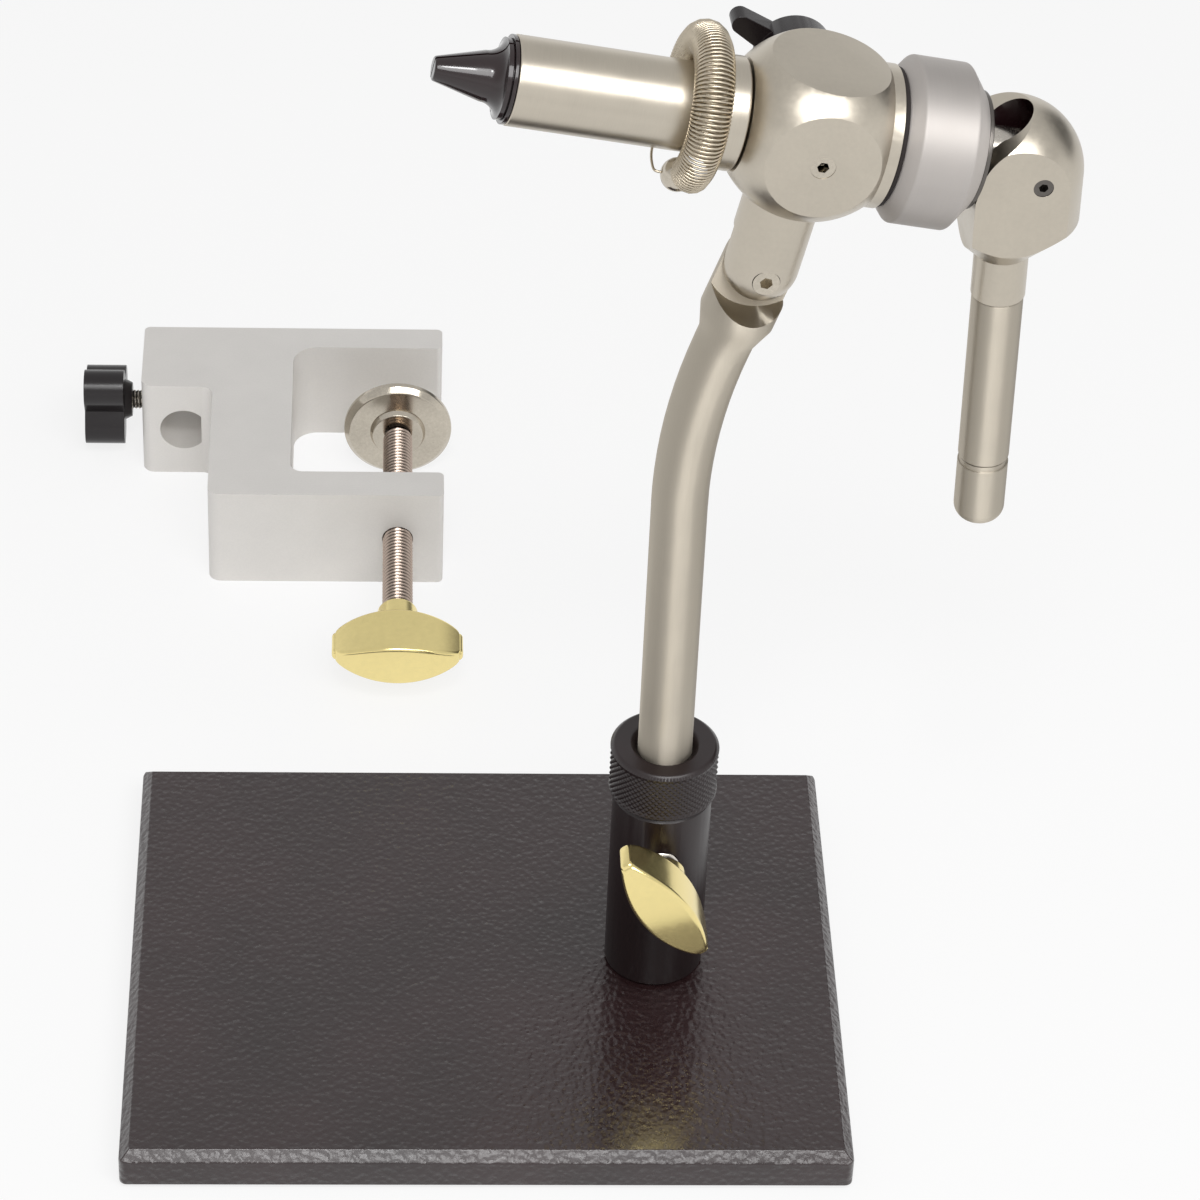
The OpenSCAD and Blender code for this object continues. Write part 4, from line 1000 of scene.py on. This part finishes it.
class VISE_OT_lever(bpy.types.Operator):
    """Cam lever's head, handle and end cap"""

    bl_idname = "vise.lever"
    bl_label = "Cam lever"

    def execute(self, context):
        p = sizes(context.scene.vise_body)
        head = copy_node("cam_lever_head", "cam_lever", "cam_lever", "satin_nickel_ball",
                         "satin_nickel", p.edge)
        # The pocket in the lever's head is painted dark, as painted shade
        self.paint_pocket_shade(head, JOINTS["cam_lever_swing"]["pos_m"])
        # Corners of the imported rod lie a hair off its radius, so it is taken to 0.01 mm
        r = round(HANDLE.reach("lever_handle"), 2)
        inner, overlap = r - p.groove, 0.5
        back, high = HANDLE.span("lever_handle")
        low = back + p.spigot
        handle = rounded([[low, 0], [low, inner], [low + p.groove, r], [high - p.groove, r],
                          [high, inner], [high, 0]], p.edge)
        spigot = rounded([[back, 0], [back, r / 2], [low + overlap, r / 2]], p.fine_edge)
        add_piece("handle_rod", "lever_handle",
                  [lathe(HANDLE, handle, 96), lathe(HANDLE, spigot, 48)], "cam_lever",
                  "satin_nickel_rod")
        back, high = HANDLE.span("lever_cap")
        low = back + p.spigot
        t = np.linspace(0, np.pi / 2, 14)
        dome = np.stack([high - p.dome + p.dome * np.sin(t), r - p.dome + p.dome * np.cos(t)], 1)
        cap = rounded([[back, 0], [back, r / 2], [low, r / 2], [low, inner],
                       [low + p.groove_w, inner], [low + p.groove_w, r], [high - p.dome, r]],
                      p.fine_edge)[:-1]
        add_piece("end_cap", "lever_cap",
                  [lathe(HANDLE, np.concatenate([cap, dome, [[high, 0]]]), 96)], "cam_lever",
                  "satin_nickel_rod")
        return {"FINISHED"}

    def paint_pocket_shade(self, head, pin):
        """Paints shade into the pocket: its faces, which point back at the pin, get the dark glossy
        oxide finish as painted shade.
        """
        faces = head.data.polygons
        centre, normal = (np.empty(len(faces) * 3, np.float32) for _ in range(2))
        faces.foreach_get("center", centre)
        faces.foreach_get("normal", normal)
        away = centre.reshape(-1, 3) - np.array(pin)
        inner = (away * normal.reshape(-1, 3)).sum(1) < 0
        # Painted shade: the inward faces take the black oxide finish
        head.data.materials.append(FINISH["polished_black_oxide"])
        faces.foreach_set("material_index", inner.astype(np.int32))


def threaded(name, node, place, body, steel, base, pitch, depth, short=0.0):
    """A screw: its radius less a triangle wave of the angle and the station's turns.

    Both ends keep a short plain part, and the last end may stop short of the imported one.
    """
    plain_l, rows_each = 0.6, 8
    low, high, radius = place.extent(node)
    high -= short
    rows = np.arange(low + plain_l, high - plain_l, pitch / rows_each)
    outline = np.concatenate([[[low, 0], [low, radius - depth]], straight(rows, radius),
                              [[high, radius - depth], [high, 0]]])

    def change(s, angle, r):
        wave = np.abs((s / pitch - angle / TURN) % 1 - 0.5) * 2
        return np.where(r > radius - HAIR, r - depth * wave, r)

    # The thread's finish carries painted shade in its roots and painted light on its crests
    thread_with_painted_shade(steel, base, place, radius, depth)
    add_piece(name, node, [lathe(place, outline, 40, change)], body, steel,
              smooth=60)


def thumb_knob(name, node, screw, body, p, depth, tip_depth):
    """Brass knob: rounded rectangles along the knob's length, on a turned neck.

    At a share u of half the length the thickness falls from the middle to the tips as
    1 - u squared, and the depth along the screw as the square root of that.
    """
    span = screw.span(node)
    low, high = sorted(abs(v) for v in span)
    sign = np.sign(sum(span))
    out = screw.x * sign
    here = Place(screw.origin, long_way(node, screw.x), out)
    e = p.knob_edge
    rows, edge_rows = 57, 5
    u = np.sin(np.linspace(-np.pi / 2, np.pi / 2, rows))
    v = np.linspace(0, np.pi / 2, edge_rows)[1:]
    reach = p.knob_l / 2
    end_x = np.append(reach - e + e * np.sin(v), reach)
    inset = np.append(e * (1 - np.cos(v)), reach)
    x = np.concatenate([-end_x[::-1], u * (reach - e), end_x])
    inset = np.concatenate([inset[::-1], np.zeros(rows), inset])
    bulge = np.clip(1 - np.clip(x / (reach - e), -1, 1) ** 2, 0, 1)
    half_y = np.maximum((p.knob_tip + (p.knob_w - p.knob_tip) * bulge) / 2 - inset, 0)
    half_z = np.maximum((tip_depth + (depth - tip_depth) * np.sqrt(bulge)) / 2 - inset, 0)
    middle = high - p.knob_body / 2
    plate = pillow(here, x, half_y, middle, half_z, e)
    neck_r = screw.reach(node, *sorted((sign * low, sign * (low + 10 * HAIR))))
    bevel_l, bevel_r, flare = 0.9, 1.2, 0.3
    neck = rounded([[low, 0], [low, neck_r - bevel_r], [low + bevel_l, neck_r],
                    [middle, neck_r + flare], [middle, 0]], p.edge)
    add_piece(name, node, [plate, lathe(Place(screw.origin, out, here.x), neck, 64)], body,
              "polished_brass", smooth=35)


class VISE_OT_screws(bpy.types.Operator):
    """Screws with rolled threads, and the two brass knobs"""

    bl_idname = "vise.screws"
    bl_label = "Screws and knobs"

    def execute(self, context):
        c, p = context.scene.vise_finishes, sizes(context.scene.vise_body)
        threaded("post_stud", "post_thumb_stud", THUMB, "post_thumb_screw", "rolled_stud_steel",
                 c.bright, p.thread_pitch, p.thread_depth)
        threaded("clamp_thread", "clamp_screw", CLAMP_SCREW, "clamp_screw", "rolled_screw_steel",
                 c.thread_steel, p.thread_pitch, p.thread_depth, p.screw_end)
        threaded("clamp_lock_thread", "clamp_lock_stud", CLAMP_LOCK, "clamp_lock_screw",
                 "rolled_lock_steel", c.bright, p.fine_pitch, p.fine_depth)
        thumb_knob("post_brass_knob", "post_thumb_knob", THUMB, "post_thumb_screw", p,
                   p.post_knob, p.post_knob_tip)
        thumb_knob("clamp_brass_knob", "clamp_knob", CLAMP_SCREW, "clamp_screw", p,
                   p.clamp_knob, p.clamp_knob_tip)
        return {"FINISHED"}


def seen(tree):
    """One for rays from the camera, a mirror or glass, and nothing for soft light."""
    ray = add(tree, "LightPath")
    out = ray.outputs["Is Camera Ray"]
    for kind in ("Glossy", "Transmission"):
        out = maths(tree, "MAXIMUM", out, ray.outputs[f"Is {kind} Ray"])
    return out


def fading(tree, value, span, end):
    """One below a span of a value, falling smoothly over it to an end level."""
    return add(tree, "MapRange", {"interpolation_type": "SMOOTHSTEP"}, Value=value, i1=span[0],
               i2=span[1], i3=1.0, i4=end).outputs[0]


def aimed(name, data, side, up, way, place):
    """A lamp or a camera at a place, looking along a way."""
    obj = bpy.data.objects.new(name, data)
    obj.matrix_world = Matrix([[side[k], up[k], -way[k], place[k]] for k in range(3)]
                              + [[0, 0, 0, 1]])
    bpy.context.scene.collection.objects.link(obj)
    return obj


class VISE_OT_stage(bpy.types.Operator):
    """Pale floor, soft light and the camera at the photograph's angle"""

    bl_idname = "vise.stage"
    bl_label = "Stage"

    def execute(self, context):
        p = context.scene.vise_stage
        context.scene.view_settings.view_transform = "Standard"
        self.floor(context, p)
        self.surroundings(context, p)
        self.lamp("key_lamp", p.key, place=(0.22, -0.6, 0.92), size=(0.9, 0.5))
        self.lamp("small_lamp", p.small, place=(-0.02, -0.5, 0.98), size=(0.14, 0.14))
        self.camera(context)
        return {"FINISHED"}

    def floor(self, context, p):
        """Matt bench top that shows mostly plain white, so that shadows on it stay pale."""
        half = p.floor_width / 2
        mesh = bpy.data.meshes.new("floor")
        mesh.from_pydata([(-half, -half, 0), (half, -half, 0), (half, half, 0),
                          (-half, half, 0)], [], [(0, 1, 2, 3)])
        floor = bpy.data.objects.new("floor", mesh)
        context.scene.collection.objects.link(floor)
        tree = shaded("pale_floor")
        matt = add(tree, "BsdfDiffuse", Color=context.scene.vise_finishes.floor)
        white = add(tree, "Emission", Color=(1, 1, 1, 1), Strength=1.0)
        both = add(tree, "MixShader", i0=maths(tree, "MULTIPLY", seen(tree), p.white),
                   i1=matt.outputs[0], i2=white.outputs[0])
        add(tree, "OutputMaterial", Surface=both.outputs[0])
        mesh.materials.append(FINISH["pale_floor"])

    def surroundings(self, context, p):
        """White air that gives soft light, and shows darker above and in one patch.

        The air dims over a span of a ray's rise, and in the patch, which lies behind on the
        right, over a span of the cosine of the angle from its middle.
        """
        rising, turning = (0.05, 0.5), (0.86, 0.97)
        patch = unit([0.8, 0.58, 0.15]).tolist()
        world = bpy.data.worlds.new("studio")
        context.scene.world = world
        world.use_nodes = True
        tree = world.node_tree
        tree.nodes.clear()
        way = place_in(tree, "Generated")
        rise = add(tree, "SeparateXYZ", Vector=way)
        above = fading(tree, rise.outputs[2], rising, p.high)
        near = maths(tree, "DOT_PRODUCT", way, patch, kind="VectorMath", out=1)
        side = fading(tree, near, turning, p.dim)
        level = add(tree, "Mix", {"data_type": "FLOAT"}, Factor=seen(tree), A=p.world, B=1.0)
        strength = maths(tree, "MULTIPLY", level.outputs[0], maths(tree, "MULTIPLY", above, side))
        air = add(tree, "Background", Color=(1, 1, 1, 1), Strength=strength)
        add(tree, "OutputWorld", Surface=air.outputs[0])

    def lamp(self, name, power, place, size):
        """A rectangular lamp that faces the head."""
        light = bpy.data.lights.new(name, "AREA")
        light.shape = "RECTANGLE"
        light.energy = power
        light.size, light.size_y = size
        head = np.array([0.0, 0.0, 0.1])
        way = unit(head - np.array(place))
        side = unit(np.cross(way, UP))
        aimed(name, light, side, np.cross(side, way), way, place)

    def camera(self, context):
        """The camera fitted to the base, the post and the head in the photograph."""
        place = np.array([-20.05, -607.14, 586.34]) * MM
        yaw, pitch, roll = np.radians([-3.28, 39.16, 2.49])
        frame_px, focal_px = 1200, 4631
        centre_px = (581, 597)
        way = np.array([-np.sin(yaw) * np.cos(pitch), np.cos(yaw) * np.cos(pitch), -np.sin(pitch)])
        level = np.array([np.cos(yaw), np.sin(yaw), 0.0])
        rise = np.cross(level, way)
        side = np.cos(roll) * level + np.sin(roll) * rise
        up = -np.sin(roll) * level + np.cos(roll) * rise
        data = bpy.data.cameras.new("photo_camera")
        data.sensor_width = 36.0
        data.lens = focal_px / frame_px * data.sensor_width
        data.shift_x = 0.5 - centre_px[0] / frame_px
        data.shift_y = centre_px[1] / frame_px - 0.5
        data.clip_start, data.clip_end = 0.01, 50.0
        context.scene.camera = aimed("photo_camera", data, side, up, way, place)


PIECES = (VISE_OT_finishes, VISE_OT_copies, VISE_OT_collar, VISE_OT_sleeve, VISE_OT_spring,
          VISE_OT_drum, VISE_OT_collet, VISE_OT_lever, VISE_OT_screws, VISE_OT_stage)
GROUPS = {"vise_finishes": ViseFinishes, "vise_body": ViseBody, "vise_head": ViseHead,
          "vise_stage": ViseStage}


class VISE_PT_panel(bpy.types.Panel):
    """Settings and steps of the vise in the sidebar."""

    bl_label = "Fly tying vise"
    bl_idname = "VISE_PT_panel"
    bl_space_type = "VIEW_3D"
    bl_region_type = "UI"
    bl_category = "Vise"

    def draw(self, context):
        for operator in PIECES:
            self.layout.operator(operator.bl_idname)
        for name, group in GROUPS.items():
            box = self.layout.box()
            for key in group.__annotations__:
                box.prop(getattr(context.scene, name), key)


def register():
    """Registers the settings, the operators and the panel."""
    for group in GROUPS.values():
        bpy.utils.register_class(group)
    for name, group in GROUPS.items():
        setattr(bpy.types.Scene, name, bpy.props.PointerProperty(type=group))
    for cls in (*PIECES, VISE_PT_panel):
        bpy.utils.register_class(cls)


def unregister():
    """Takes the panel, the operators and the settings away again."""
    for cls in reversed((*PIECES, VISE_PT_panel)):
        bpy.utils.unregister_class(cls)
    for name, group in GROUPS.items():
        delattr(bpy.types.Scene, name)
        bpy.utils.unregister_class(group)


def main():
    """Makes every piece and the stage."""
    register()
    for operator in PIECES:
        getattr(bpy.ops.vise, operator.bl_idname.split(".")[1])()


if __name__ == "__main__":
    main()
